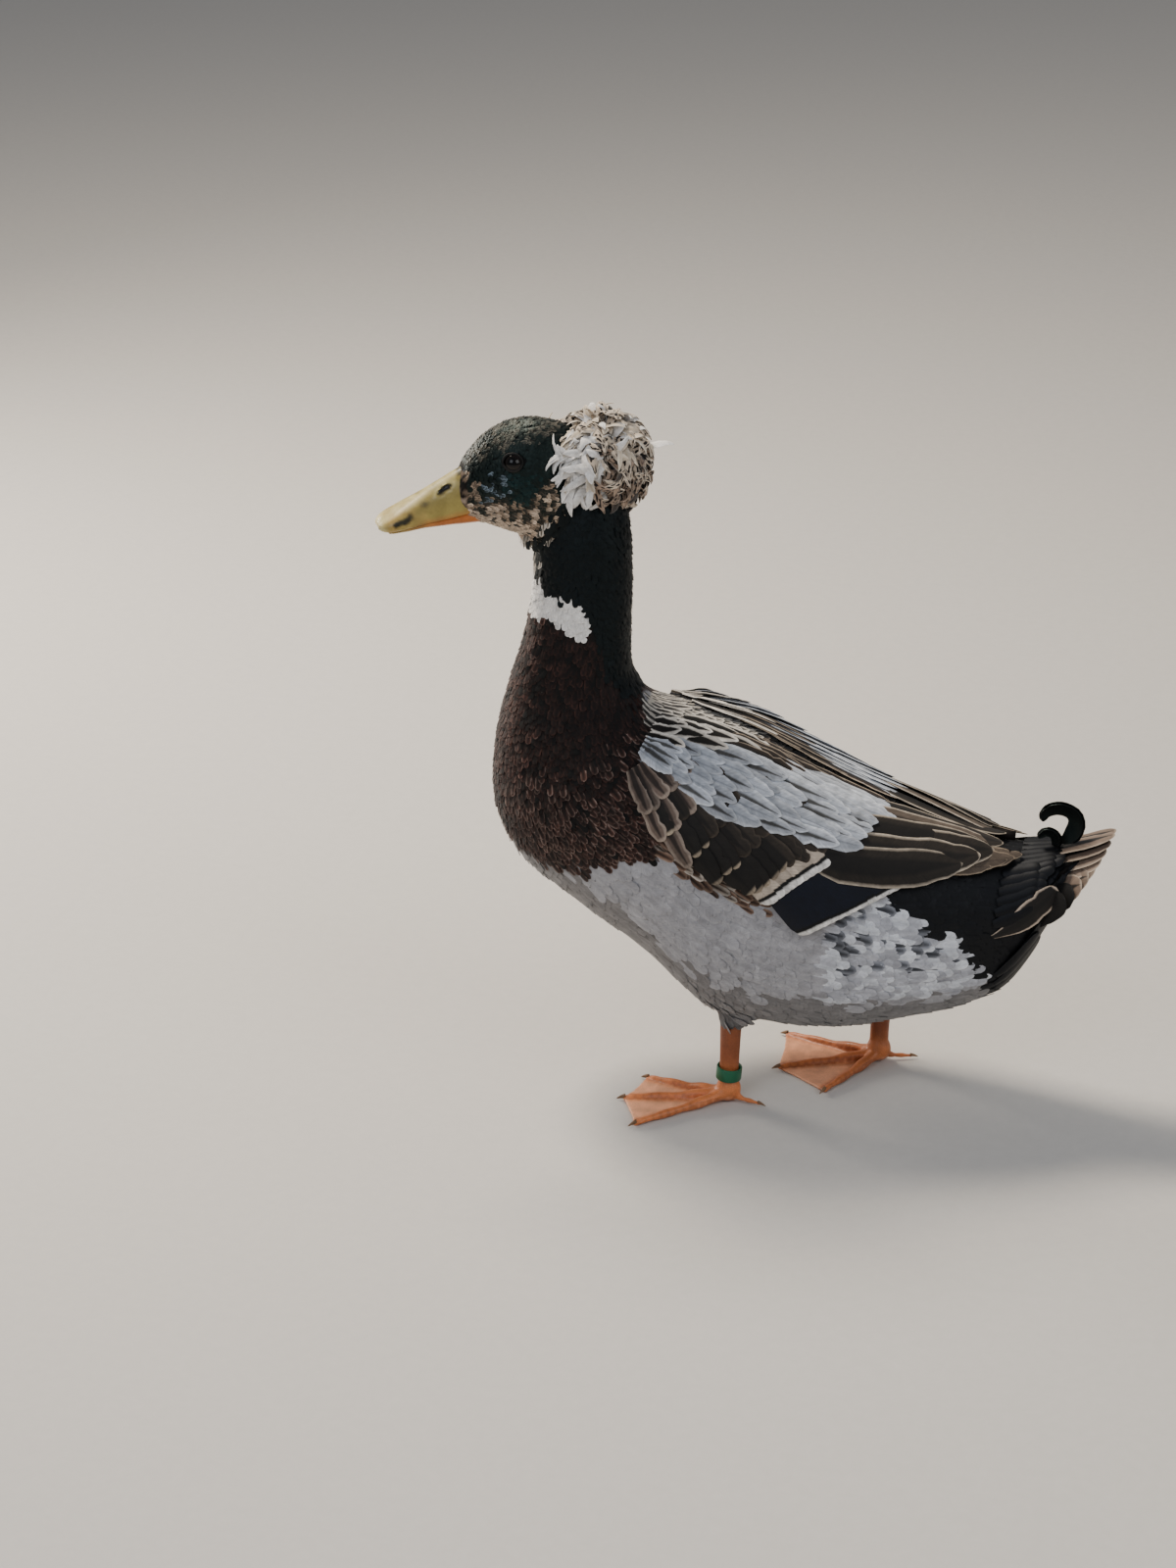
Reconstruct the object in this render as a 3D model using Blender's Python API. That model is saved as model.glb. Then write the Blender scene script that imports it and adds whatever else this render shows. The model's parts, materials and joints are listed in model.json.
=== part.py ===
"""Crested duck, a drake standing with its head turned a little to its left, as a still life-size model.

Sizes are in millimetres and are scaled to metres when a mesh is made. The bird faces -X, its left
side is -Y, and +Z is up. At the end the whole bird is moved so that the origin is the middle of its
bounding box, at the floor.
"""

import math
import random
from dataclasses import dataclass

import bmesh
import bpy
from mathutils import Matrix, Vector

MM = 0.001
GAP = 0.3
SEED = 7
FLATNESS = math.radians(0.8)

# Trunk stations from the tail to the nape: dorsal x and z, ventral x and z, half width.
TRUNK = (
    (196, 168, 194, 150, 24),
    (184, 168, 179, 113, 32),
    (168, 169, 158, 77, 39),
    (146, 171, 132, 62, 48),
    (115, 180, 98, 53, 59),
    (80, 193, 62, 46, 68),
    (40, 211, 20, 46, 73),
    (5, 228, -18, 54, 74),
    (-25, 238, -58, 89, 71),
    (-42, 243, -99, 117, 66),
    (-52, 246, -135, 146, 59),
    (-58, 250, -151, 180, 50),
    (-62, 256, -151, 216, 42),
    (-66, 268, -143, 250, 34),
    (-66, 290, -131, 288, 28),
    (-65, 320, -126, 318, 25.5),
    (-66, 350, -124, 347, 24.5),
    (-70, 374, -118, 372, 21),
)
TAIL_END, TORSO_END, BREAST_TOP, COLLAR, NAPE = 0.0, 2.0, 12.0, 14.4, 17.0
SQUARENESS = 2.2

# Head frame: a runs forward from the neck's axis, b to the bird's left, z up.
NECK_AXIS_X = -96
HEAD_YAW = math.radians(25)
HEAD_FORWARD = Vector((-math.cos(HEAD_YAW), -math.sin(HEAD_YAW), 0))
HEAD_LEFT = Vector((math.sin(HEAD_YAW), -math.cos(HEAD_YAW), 0))

# Head stations: a, top z, bottom z, half width.
HEAD = (
    (-14, 391, 378, 5),
    (-9, 400, 367, 11),
    (1, 409.5, 354, 17.5),
    (14, 416, 346.5, 22.5),
    (30, 419, 347, 25.5),
    (44, 416.5, 352, 24.5),
    (56, 410, 357, 21),
    (65, 401, 359.5, 17),
    (71, 392.5, 361, 14),
    (75, 385, 363, 11),
)
HEAD_FLATNESS = 0.92

# Bill stations: a, culmen z, mouth line z, half width, roundness of the section.
BILL = (
    (60, 396, 368.8, 12.5, 1.15),
    (72, 391.2, 366.3, 12.6, 1.15),
    (82, 385.8, 364.6, 12, 1.1),
    (93, 379.8, 363, 11.8, 0.95),
    (103, 374.6, 361.2, 12.8, 0.8),
    (112, 369.6, 360, 12.9, 0.7),
    (117, 366.2, 359.8, 10.6, 0.65),
    (119.6, 363.6, 360.3, 6.2, 0.6),
)
BILL_LIP, BILL_TUCK = 1.1, 0.9
LOWER_BILL_DROP = ((60, 9.5), (76, 6.2), (95, 3.8), (113, 2.2))
LOWER_BILL_SPAN, LOWER_BILL_WIDTH, LOWER_BILL_ROUND = (60, 114), 0.86, 0.7
NAIL, NAIL_SIZE = (115, 0, 366.6), (5.5, 4.2, 1.8)
NAIL_TURN = Matrix.Rotation(HEAD_YAW, 4, "Z") @ Matrix.Rotation(math.radians(-32), 4, "Y")
NOSTRIL = (81, 381.6)
NOSTRIL_SIZE = (4.4, 2.6, 1.7)
NOSTRIL_TURN = Matrix.Rotation(HEAD_YAW, 4, "Z") @ Matrix.Rotation(math.radians(-24), 4, "Y")

EYE_RADIUS, EYE_A, EYE_Z, EYE_PROUD = 6.4, 43.8, 399.3, 2.1
LID_LENGTH, LID_HEIGHT, LID_THICKNESS, LID_PROUD, LID_PINCH = 11.8, 9.8, 1.3, 0.5, 1.25

CREST_CENTRE, CREST_RADII = (-12, 388.5), (31, 30, 34)
CREST_CORE, CREST_FEATHERS, CREST_WIDTH, CREST_THICKNESS = 0.5, 62, (10.5, 13.5), 0.8
CREST_ROOT, CREST_HIDDEN, CREST_LEAN, CREST_CLEAR = (-0.9, 0, -0.42), 0.62, 0.4, 1.6
CREST_BEND, CREST_REACH, CREST_TWIST = (0.6, 1.0), (0.93, 1.06), 0.25
GOLDEN_TURN = math.pi * (3 - math.sqrt(5))

# Outlines of a feather: fraction of its length, share of its width.
LEAF = ((0, 0.4), (0.4, 1), (0.75, 0.86), (1, 0.2))
ROUND = ((0, 0.5), (0.35, 1), (0.86, 0.94), (1, 0.42))
SHORT = ((0, 0.6), (0.7, 1), (0.92, 0.8), (1, 0.4))
LONG = ((0, 0.5), (0.25, 0.95), (0.55, 1), (0.88, 0.8), (1, 0.3))
TIP_THICKNESS, PATH_STEP = 0.7, 0.05

# Closed wing: station of the trunk, upper and lower edge in degrees from the back, thickness.
WING = (
    (9.35, 40, 62, 3),
    (9.0, 22, 71, 6),
    (8.2, 9, 77, 8.5),
    (7.2, 5, 79, 9),
    (6.2, 4, 77, 8.5),
    (5.5, 4, 84, 7.5),
    (4.8, 4, 70, 7.5),
    (4.1, 4, 54, 7.5),
    (3.4, 5, 44, 7.5),
    (2.7, 7, 34, 8),
    (2.2, 11, 26, 9),
)
WING_CORE, WING_CORE_INSET, WING_CORE_SPAN = 0.5, 11, (0.6, 8.2)
WING_CORE_EDGE, WING_CORE_SLOPE = 0.35, 3
STRAY_LENGTH, STRAY_DEGREES, MIDLINE_SHARE = 0.06, 1.2, 0.42


@dataclass(frozen=True)
class Tier:
    """A tier of feathers: root and tip of its first and last one, as trunk station and degrees."""

    count: int
    first: tuple
    last: tuple
    width: float
    height: tuple
    outline: tuple = ROUND
    thick: float = 0.8
    roll: float = 9
    camber: float = 0


WING_TIERS = (
    Tier(3, ((4.7, 44), (2.7, 34)), ((4.3, 28), (1.95, 21)), 13, (0.36, 0.4), LONG),
    Tier(7, ((6.5, 60), (5.42, 86)), ((5.1, 24), (4.1, 54)), 13, (0.4, 0.3), SHORT),
    Tier(4, ((5.4, 34), (3.35, 42)), ((5.1, 10), (2.1, 14)), 21, (0.45, 0.95), LONG, 1.1, 5, 1),
    Tier(5, ((7.1, 60), (6.1, 72)), ((5.8, 22), (4.75, 28)), 19, (0.42, 0.66), SHORT),
    Tier(4, ((7.8, 62), (6.8, 74)), ((6.5, 26), (5.4, 26)), 24, (0.42, 0.8), SHORT),
    Tier(3, ((8.6, 56), (7.5, 74)), ((7.4, 30), (6.2, 28)), 28, (0.4, 0.88), SHORT),
    Tier(4, ((6.3, 44), (4.6, 41)), ((6.0, 7), (3.9, 7)), 21, (0.42, 1.0), SHORT, 1),
    Tier(4, ((7.6, 50), (5.9, 49)), ((7.4, 9), (5.2, 7)), 24, (0.42, 1.06), SHORT, 1),
    Tier(3, ((8.8, 46), (7.4, 50)), ((8.6, 17), (6.7, 10)), 27, (0.4, 1.04), SHORT, 1),
)

# Tail: number of feathers a side, root and tip of the middle and of the outermost one.
RECTRICES, RECTRIX_WIDTH, RECTRIX_THICKNESS = 7, 18, 0.8
RECTRIX_BULGE, RECTRIX_LEAN, RECTRIX_SAG, RECTRIX_STEP = 3, 62, 1.5, 1.3
RECTRIX_MIDDLE = (Vector((170, 3, 163.5)), Vector((222, 5, 180)))
RECTRIX_OUTER = (Vector((168, 20, 128)), Vector((197, 36, 150)))
# Tiers of coverts: root and tip station, millimetres past the tip, height, degrees from the back, width.
TAIL_COVERTS = (
    (1.7, 0.4, 7, 2.4, (-34, -12, 12, 34), 17),
    (1.9, 0.9, 2, 2, (-145, -108, 180, 108, 145), 26),
    (1.1, 0.15, 9, 2.2, (-128, 180, 128), 22),
)
COVERT_THICKNESS, COVERT_DEPTH = 0.9, 1.5
CURL_THICKNESS, CURL_TAPER, CURL_TURN = 1, 0.45, math.radians(40)
BIG_CURL_WIDTH, SMALL_CURL_WIDTH = 10, 6
CURL_SEAT = ((190, 0, 170), (6, 4.5, 5))
BIG_CURL = (
    (189, 0, 168), (196, 0, 175), (202, 0, 180), (204, 0, 186), (201, 0, 191.5), (194, 0, 194),
    (187, 0, 193), (181.5, 0, 189.5), (180, 0, 184),
)
SMALL_CURL = ((187, -3, 168), (188, -5, 175), (185.5, -5.5, 179), (181, -6, 179.5), (177, -6, 176))

# Legs: place of the ankles, toe angles outwards from straight ahead, lengths.
LEFT_ANKLE, RIGHT_ANKLE = (-3, -33), (79, 36)
LEFT_TOES, RIGHT_TOES = (-18, 10, 41), (-62, -22, 20)
TOE_LENGTHS = (57, 64, 66)
TOE_LINE = ((0, 7), (0.2, 4.6), (0.45, 3.2), (0.7, 2.8), (0.9, 2.6), (1, 1.4))
TOE_RADII = (5.2, 4.2, 3.6, 3.2, 2.6, 0.9)
HALLUX_TURN, HALLUX_LENGTH, HALLUX_SCALE, HALLUX_LIFT = 165, 21, 0.62, 1
ANKLE_HEIGHT, ANKLE_RADII = 9, (8, 7, 9)
WEB_TOP, WEB_BOTTOM, WEB_DIP = 2.6, 0.6, 0.35

# Shank and thigh from the floor up: z, lean in x, half depth, half width.
SHANK_FOOT, SHANK_KNEE = 13, 51
SHANK = (
    (SHANK_FOOT + GAP / 2, 0, 5.6, 4.4),
    (20, 0.3, 5.7, 4.1),
    (32, 0.8, 5.9, 4.2),
    (SHANK_KNEE - GAP / 2, 1.5, 6.6, 4.8),
)
THIGH = (
    (SHANK_KNEE + GAP / 2, 1.5, 8.4, 6.6),
    (54, 2.5, 10.5, 8.4),
    (60, 5, 13.5, 11.5),
    (72, 9, 17, 14),
)
BAND_Z, BAND_HEIGHT, BAND_OUTER, BAND_INNER, BAND_LEAN, BAND_TILT = 19.5, 8, 7.8, 6.6, 0.3, 5


@dataclass(frozen=True)
class Finish:
    """The look of one kind of surface."""

    name: str
    colour: tuple
    roughness: float
    metallic: float = 0.0

    def make(self):
        """The Principled material of this finish, made once."""
        made = bpy.data.materials.get(self.name)
        if made is None:
            made = bpy.data.materials.new(self.name)
            made.use_nodes = True
            shader = made.node_tree.nodes["Principled BSDF"]
            shader.inputs["Base Color"].default_value = (*self.colour, 1)
            shader.inputs["Roughness"].default_value = self.roughness
            shader.inputs["Metallic"].default_value = self.metallic
            made.diffuse_color = (*self.colour, 1)
        return made


GREEN = Finish("head_feathers", (0.012, 0.03, 0.022), 0.35)
CREST = Finish("crest_feathers", (0.6, 0.54, 0.46), 0.8)
BREAST = Finish("breast_feathers", (0.13, 0.05, 0.03), 0.7)
BODY = Finish("body_feathers", (0.5, 0.51, 0.53), 0.85)
WING_FEATHERS = Finish("wing_feathers", (0.2, 0.17, 0.14), 0.75)
TAIL_FEATHERS = Finish("tail_feathers", (0.3, 0.25, 0.2), 0.75)
CURLS = Finish("curled_feathers", (0.01, 0.012, 0.012), 0.4)
BILL_HORN = Finish("bill_horn", (0.62, 0.55, 0.3), 0.4)
BILL_UNDER = Finish("bill_under", (0.7, 0.35, 0.1), 0.4)
EYE = Finish("eye", (0.02, 0.012, 0.008), 0.05)
SKIN = Finish("foot_skin", (0.75, 0.24, 0.06), 0.5)
BAND = Finish("band_plastic", (0.01, 0.25, 0.12), 0.4)


def station(rows, t):
    """Values between the rows at t, on a Catmull-Rom curve through them."""
    last = len(rows) - 1
    i = max(0, min(int(t), last - 1))
    f = max(0, min(t - i, 1))
    before, start, end, after = (rows[max(0, min(k, last))] for k in (i - 1, i, i + 1, i + 2))
    return [
        0.5 * (2 * q + (r - p) * f + (2 * p - 5 * q + 4 * r - s) * f**2 + (3 * q - p - 3 * r + s) * f**3)
        for p, q, r, s in zip(before, start, end, after)
    ]


def at_a(rows, a):
    """Values of a table whose first column is a, at that a, joined by straight lines."""
    for low, high in zip(rows, rows[1:]):
        if a <= high[0]:
            break
    f = (a - low[0]) / (high[0] - low[0])
    return [p + (q - p) * f for p, q in zip(low, high)]


def mix(low, high, f):
    return low + (high - low) * f


def power(value, exponent):
    return math.copysign(abs(value) ** exponent, value)


def trunk_point(t, phi, side=1):
    """A point of the trunk's surface: phi is 0 on the back and pi on the belly, side -1 is the left."""
    dx, dz, vx, vz, half = station(TRUNK, t)
    along = power(math.cos(phi), 2 / SQUARENESS)
    across = power(math.sin(phi), 2 / SQUARENESS)
    share = (1 + along) / 2
    return Vector((mix(vx, dx, share), side * half * across, mix(vz, dz, share)))


def trunk_frame(t, phi, side=1):
    """The point at t and phi, and the outward normal there."""
    step = 0.02
    here = trunk_point(t, phi, side)
    forward = trunk_point(t + step, phi, side) - trunk_point(t - step, phi, side)
    around = trunk_point(t, phi + step, side) - trunk_point(t, phi - step, side)
    normal = forward.cross(around).normalized()
    outward = here - (trunk_point(t, 0) + trunk_point(t, math.pi)) / 2
    return here, normal if normal.dot(outward) > 0 else -normal


def head_point(a, b, z):
    """A point given in the head's own frame."""
    return Vector((NECK_AXIS_X, 0, z)) + HEAD_FORWARD * a + HEAD_LEFT * b


def mesh_object(name, points, faces, group="duck"):
    """An object made from points in millimetres."""
    mesh = bpy.data.meshes.new(name)
    mesh.from_pydata([Vector(p) * MM for p in points], [], faces)
    mesh.validate()
    made = bpy.data.objects.new(name, mesh)
    collection(group).objects.link(made)
    return made


def collection(name):
    """The collection of that name, made when first asked for."""
    found = bpy.data.collections.get(name)
    if found is None:
        found = bpy.data.collections.new(name)
        bpy.context.scene.collection.children.link(found)
    return found


def loft(name, rings, group="pieces"):
    """A closed surface through rings of equal count, with a flat cap at each end."""
    count = len(rings[0])
    points = [p for ring in rings for p in ring]
    faces = []
    for i in range(len(rings) - 1):
        for k in range(count):
            nxt = (k + 1) % count
            faces.append((i * count + k, i * count + nxt, (i + 1) * count + nxt, (i + 1) * count + k))
    faces.append(tuple(reversed(range(count))))
    faces.append(tuple(range((len(rings) - 1) * count, len(rings) * count)))
    made = mesh_object(name, points, faces, group)
    return face_out(made)


def face_out(obj):
    """Turns a closed mesh's faces outwards."""
    work = bmesh.new()
    work.from_mesh(obj.data)
    bmesh.ops.recalc_face_normals(work, faces=work.faces)
    if work.calc_volume(signed=True) < 0:
        bmesh.ops.reverse_faces(work, faces=work.faces)
    work.to_mesh(obj.data)
    work.free()
    return obj


def grown(obj, distance=GAP):
    """A cutter: a copy of obj whose surface is moved out by distance."""
    cutter = bpy.data.objects.new(obj.name + "_grown", obj.data.copy())
    cutter.hide_render = True
    cutter.display_type = "WIRE"
    collection("cutters").objects.link(cutter)
    work = bmesh.new()
    work.from_mesh(cutter.data)
    work.normal_update()
    moves = [v.normal * v.calc_shell_factor() * distance * MM for v in work.verts]
    for vert, move in zip(work.verts, moves):
        vert.co += move
    work.to_mesh(cutter.data)
    work.free()
    return cutter


def apply_boolean(obj, operation, others, solver="MANIFOLD"):
    """Applies one Boolean of obj with a list of objects, and removes them."""
    group = bpy.data.collections.new("operands")
    bpy.context.scene.collection.children.link(group)
    for other in others:
        group.objects.link(other)
    modifier = obj.modifiers.new(operation.lower(), "BOOLEAN")
    modifier.operation = operation
    modifier.solver = solver
    modifier.operand_type = "COLLECTION"
    modifier.collection = group
    bpy.context.view_layer.update()
    result = bpy.data.meshes.new_from_object(obj.evaluated_get(bpy.context.evaluated_depsgraph_get()))
    obj.modifiers.clear()
    obj.data = result
    for other in others:
        bpy.data.objects.remove(other)
    bpy.data.collections.remove(group)
    return obj


def keep_largest(obj):
    """Leaves only the closed surface with the most volume."""
    work = bmesh.new()
    work.from_mesh(obj.data)
    bmesh.ops.triangulate(work, faces=work.faces)
    left, shells = set(work.verts), []
    while left:
        stack, shell = [left.pop()], set()
        while stack:
            vert = stack.pop()
            shell.add(vert)
            near = {edge.other_vert(vert) for edge in vert.link_edges} & left
            left -= near
            stack.extend(near)
        shells.append(shell)

    def volume(shell):
        faces = {face for vert in shell for face in vert.link_faces}
        return sum(f.verts[0].co.dot(f.verts[1].co.cross(f.verts[2].co)) for f in faces)

    best = max(shells, key=volume)
    bmesh.ops.delete(work, geom=[v for v in work.verts if v not in best], context="VERTS")
    bmesh.ops.dissolve_limit(work, angle_limit=FLATNESS, verts=work.verts, edges=work.edges)
    bmesh.ops.triangulate(work, faces=work.faces)
    work.to_mesh(obj.data)
    work.free()
    return obj


def node(name, pieces, finish, cutters=()):
    """Joins closed pieces into one named node, cuts it clear of the cutters, and gives it its material."""
    base, others = pieces[0], pieces[1:]
    if others:
        apply_boolean(base, "UNION", others)
    if cutters:
        apply_boolean(base, "DIFFERENCE", list(cutters))
    if others or cutters:
        keep_largest(base)
    for old in list(base.users_collection):
        old.objects.unlink(base)
    collection("duck").objects.link(base)
    base.name = name
    base.data.name = name
    base.data.materials.clear()
    base.data.materials.append(finish)
    base.data.shade_smooth()
    base.data.set_sharp_from_angle(angle=math.radians(40))
    return base


def spread(start, end, count):
    """Evenly spaced numbers from start to end, both included."""
    return [start + (end - start) * i / (count - 1) for i in range(count)]


def ball(name, centre, radii, segments=20, rings=12, turn=None):
    """An ellipsoid, turned about its own centre."""
    made = mesh_object(name, [], [], "pieces")
    work = bmesh.new()
    bmesh.ops.create_uvsphere(work, u_segments=segments, v_segments=rings, radius=1)
    size = Matrix.Diagonal((*radii, 1))
    place = Matrix.Translation(centre) @ (turn or Matrix.Identity(4)) @ size
    bmesh.ops.transform(work, matrix=Matrix.Scale(MM, 4) @ place, verts=work.verts)
    work.to_mesh(made.data)
    work.free()
    return made


def slab(name, low, high):
    """A box between two corners."""
    made = mesh_object(name, [], [], "pieces")
    work = bmesh.new()
    bmesh.ops.create_cube(work, size=1)
    low, high = Vector(low), Vector(high)
    place = Matrix.Translation((low + high) / 2) @ Matrix.Diagonal((*(high - low), 1))
    bmesh.ops.transform(work, matrix=Matrix.Scale(MM, 4) @ place, verts=work.verts)
    work.to_mesh(made.data)
    work.free()
    return made


def tube(name, points, radii, around=2, closed=False):
    """A round bar along points with a radius at each, from a bevelled curve."""
    curve = bpy.data.curves.new(name, "CURVE")
    curve.dimensions = "3D"
    curve.bevel_depth = 1
    curve.bevel_resolution = around
    curve.use_fill_caps = not closed
    line = curve.splines.new("POLY")
    line.points.add(len(points) - 1)
    for spot, place, radius in zip(line.points, points, radii):
        spot.co = (*place, 1)
        spot.radius = radius
    line.use_cyclic_u = closed
    holder = bpy.data.objects.new(name, curve)
    collection("pieces").objects.link(holder)
    bpy.context.view_layer.update()
    mesh = bpy.data.meshes.new_from_object(holder.evaluated_get(bpy.context.evaluated_depsgraph_get()))
    bpy.data.objects.remove(holder)
    made = bpy.data.objects.new(name, mesh)
    collection("pieces").objects.link(made)
    work = bmesh.new()
    work.from_mesh(mesh)
    bmesh.ops.remove_doubles(work, verts=work.verts, dist=0.05)
    bmesh.ops.scale(work, vec=(MM, MM, MM), verts=work.verts)
    work.to_mesh(mesh)
    work.free()
    return face_out(made)


def trunk_rings(start, end, steps, sides, ends=(0, 0)):
    """Rings of the trunk from station start to end, the first and the last drawn in by the two ends."""
    rings = []
    for t in spread(start, end, steps):
        turns = (2 * math.pi * k / sides - math.pi for k in range(sides))
        rings.append([trunk_point(t, abs(phi), 1 if phi >= 0 else -1) for phi in turns])
    for index, inward, amount in ((0, 1, ends[0]), (-1, -1, ends[1])):
        ring = rings[index]
        plane = (ring[sides // 4] - ring[0]).cross(ring[sides // 2] - ring[0]).normalized()
        if plane.dot(rings[index + inward][0] - ring[0]) < 0:
            plane.negate()
        rings[index] = [p + plane * amount for p in ring]
    return rings


def make_torso():
    """The body from the breast to the rump."""
    rings = trunk_rings(TORSO_END, BREAST_TOP, 21, 26, (GAP / 2, GAP / 2))
    return node("torso", [loft("torso", rings)], BODY.make())


def make_neck(head):
    """The neck in two parts that meet at the collar; the upper one ends against the head."""
    lower = loft("neck_lower", trunk_rings(BREAST_TOP, COLLAR, 7, 24, (GAP / 2, GAP / 2)))
    upper = loft("neck_upper", trunk_rings(COLLAR, NAPE, 7, 24, (GAP / 2, 0)))
    node("neck_lower", [lower], BREAST.make())
    return node("neck_upper", [upper], GREEN.make(), [grown(head)])


def head_side(a, z):
    """How far the head's side is from its middle plane at a and z."""
    _, top, bottom, half = at_a(HEAD, a)
    level = (z - (top + bottom) / 2) / ((top - bottom) / 2)
    return half * power(math.sqrt(max(0, 1 - level * level)), HEAD_FLATNESS)


def head_shape():
    """The head with no openings."""
    rings = []
    for t in spread(0, len(HEAD) - 1, 16):
        a, top, bottom, half = station(HEAD, t)
        turns = spread(0, 2 * math.pi, 23)[:-1]
        sides = [half * power(math.sin(turn), HEAD_FLATNESS) for turn in turns]
        levels = [mix(bottom, top, (1 + math.cos(turn)) / 2) for turn in turns]
        rings.append([head_point(a, b, z) for b, z in zip(sides, levels)])
    return loft("head", rings)


def eye_ball(side):
    """One eyeball, sunk along the head's normal; side is 1 for the bird's left."""
    slope_a = head_side(EYE_A + 1, EYE_Z) - head_side(EYE_A, EYE_Z)
    slope_z = head_side(EYE_A, EYE_Z + 1) - head_side(EYE_A, EYE_Z)
    inwards = Vector((slope_a, -1, slope_z)).normalized() * (EYE_RADIUS - EYE_PROUD)
    place = head_point(EYE_A + inwards.x, (head_side(EYE_A, EYE_Z) + inwards.y) * side, EYE_Z + inwards.z)
    return ball("eye", place, (EYE_RADIUS,) * 3, 14, 9)


def lid_rim(side):
    """The rim of the two lids, a ring that follows the head's side and is pinched at its corners."""
    points = []
    for turn in spread(0, 2 * math.pi, 15)[:-1]:
        a = EYE_A + LID_LENGTH / 2 * math.cos(turn)
        z = EYE_Z + LID_HEIGHT / 2 * power(math.sin(turn), LID_PINCH)
        points.append(head_point(a, (head_side(a, z) + LID_PROUD) * side, z))
    return tube("lid", points, [LID_THICKNESS] * len(points), 1, closed=True)


def make_head(plain):
    """The head with lids around the sockets of the eyes."""
    eyes = {"eye_left": eye_ball(1), "eye_right": eye_ball(-1)}
    sockets = [grown(eye) for eye in eyes.values()]
    node("head", [plain, lid_rim(1), lid_rim(-1)], GREEN.make(), sockets)
    for name, eye in eyes.items():
        node(name, [eye], EYE.make())


def make_bill(head):
    """The two halves of the bill, parted by the line of the mouth, with the nail and the nostrils."""
    upper, lower = [], []
    for t in spread(0, len(BILL) - 1, 14):
        a, top, mouth, half, arch = station(BILL, t)
        lip = mouth + BILL_LIP
        arc = spread(0, math.pi, 11)
        dome = [(half * math.cos(turn), mix(lip, top, math.sin(turn) ** arch)) for turn in arc]
        edge = [(-half * BILL_TUCK, mouth), (half * BILL_TUCK, mouth)]
        upper.append([head_point(a, b, z) for b, z in dome + edge])
    for a in spread(*LOWER_BILL_SPAN, 11):
        _, _, mouth, half, _ = at_a(BILL, a)
        drop = at_a(LOWER_BILL_DROP, a)[1]
        width = half * LOWER_BILL_WIDTH
        turns = spread(0, math.pi, 9)
        depths = [drop * math.sin(turn) ** LOWER_BILL_ROUND for turn in turns]
        bowl = [(width * math.cos(turn), mouth - GAP - depth) for turn, depth in zip(turns, depths)]
        lower.append([head_point(a, b, z) for b, z in bowl])
    nail = ball("nail", head_point(*NAIL), NAIL_SIZE, 10, 6, NAIL_TURN)
    pits = []
    for side in (1, -1):
        a, z = NOSTRIL
        _, top, mouth, half, arch = at_a(BILL, a)
        across = half * math.cos(math.asin(((z - mouth) / (top - mouth)) ** (1 / arch)))
        pit = ball("pit", head_point(a, across * side, z), NOSTRIL_SIZE, 10, 6, NOSTRIL_TURN)
        pit.hide_render = True
        pits.append(pit)
    node("bill_upper", [loft("bill_upper", upper), nail], BILL_HORN.make(), [grown(head), *pits])
    node("bill_lower", [loft("bill_lower", lower)], BILL_UNDER.make(), [grown(head)])


def wing_core(side):
    """The thin pad on the flank that holds the roots of the wing's feathers."""
    rings = []
    for t in spread(WING_CORE_SPAN[0], WING_CORE_SPAN[1], 9):
        at, top, bottom, thick = station(WING, t)
        outer, inner = [], []
        low = bottom - WING_CORE_INSET
        for phi in spread(top, low, 5):
            edge = min(phi - top, low - phi) / (low - top)
            swell = min(1, WING_CORE_EDGE + edge * WING_CORE_SLOPE)
            here, normal = trunk_frame(at, math.radians(phi), side)
            outer.append(here + normal * max(thick * WING_CORE * swell, 1))
            inner.append(here - normal)
        rings.append(outer + inner[::-1])
    return loft("wing", rings)


def plate(name, tops, bottoms):
    """A thin closed plate between rows of points above and below, its two faces split alike."""
    rows, count = len(tops), len(tops[0])
    points = [p for row in tops for p in row] + [p for row in bottoms for p in row]
    under = rows * count
    faces = []
    for i in range(rows - 1):
        for k in range(count - 1):
            a, b = i * count + k, i * count + k + 1
            c, d = b + count, a + count
            faces += [(a, b, c), (a, c, d)]
            faces += [(a + under, c + under, b + under), (a + under, d + under, c + under)]
        for edge in (0, count - 1):
            a, b = i * count + edge, (i + 1) * count + edge
            faces += [(a, b, b + under), (a, b + under, a + under)]
    for first in (0, (rows - 1) * count):
        for k in range(count - 1):
            a, b = first + k, first + k + 1
            faces += [(a, b, b + under), (a, b + under, a + under)]
    return face_out(mesh_object(name, points, faces, "pieces"))


def vane(path, width, thick, outline, roll=0, camber=0):
    """One feather along a path, which gives a place and an upward direction at each fraction."""
    tops, bottoms = [], []
    for f, share in outline:
        here, up = path(f)
        along = (path(min(f + PATH_STEP, 1))[0] - path(max(f - PATH_STEP, 0))[0]).normalized()
        across = along.cross(up).normalized()
        across.rotate(Matrix.Rotation(roll, 3, along))
        lift = across.cross(along)
        half, depth = width / 2 * share, thick / 2 * (TIP_THICKNESS if f == 1 else 1)
        middle = [(0, camber * share * share)] if camber else []
        section = [(-half, 0), *middle, (half, 0)]
        tops.append([here + across * x + lift * (y + depth) for x, y in section])
        bottoms.append([here + across * x + lift * (y - depth) for x, y in section])
    return plate("vane", tops, bottoms)


def wing_thickness(t):
    """The closed wing's full thickness at a station of the trunk."""
    for (front, *_, a), (rear, *_, b) in zip(WING, WING[1:]):
        if t >= rear:
            break
    return mix(a, b, max(0, min((front - t) / (front - rear), 1)))


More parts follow.
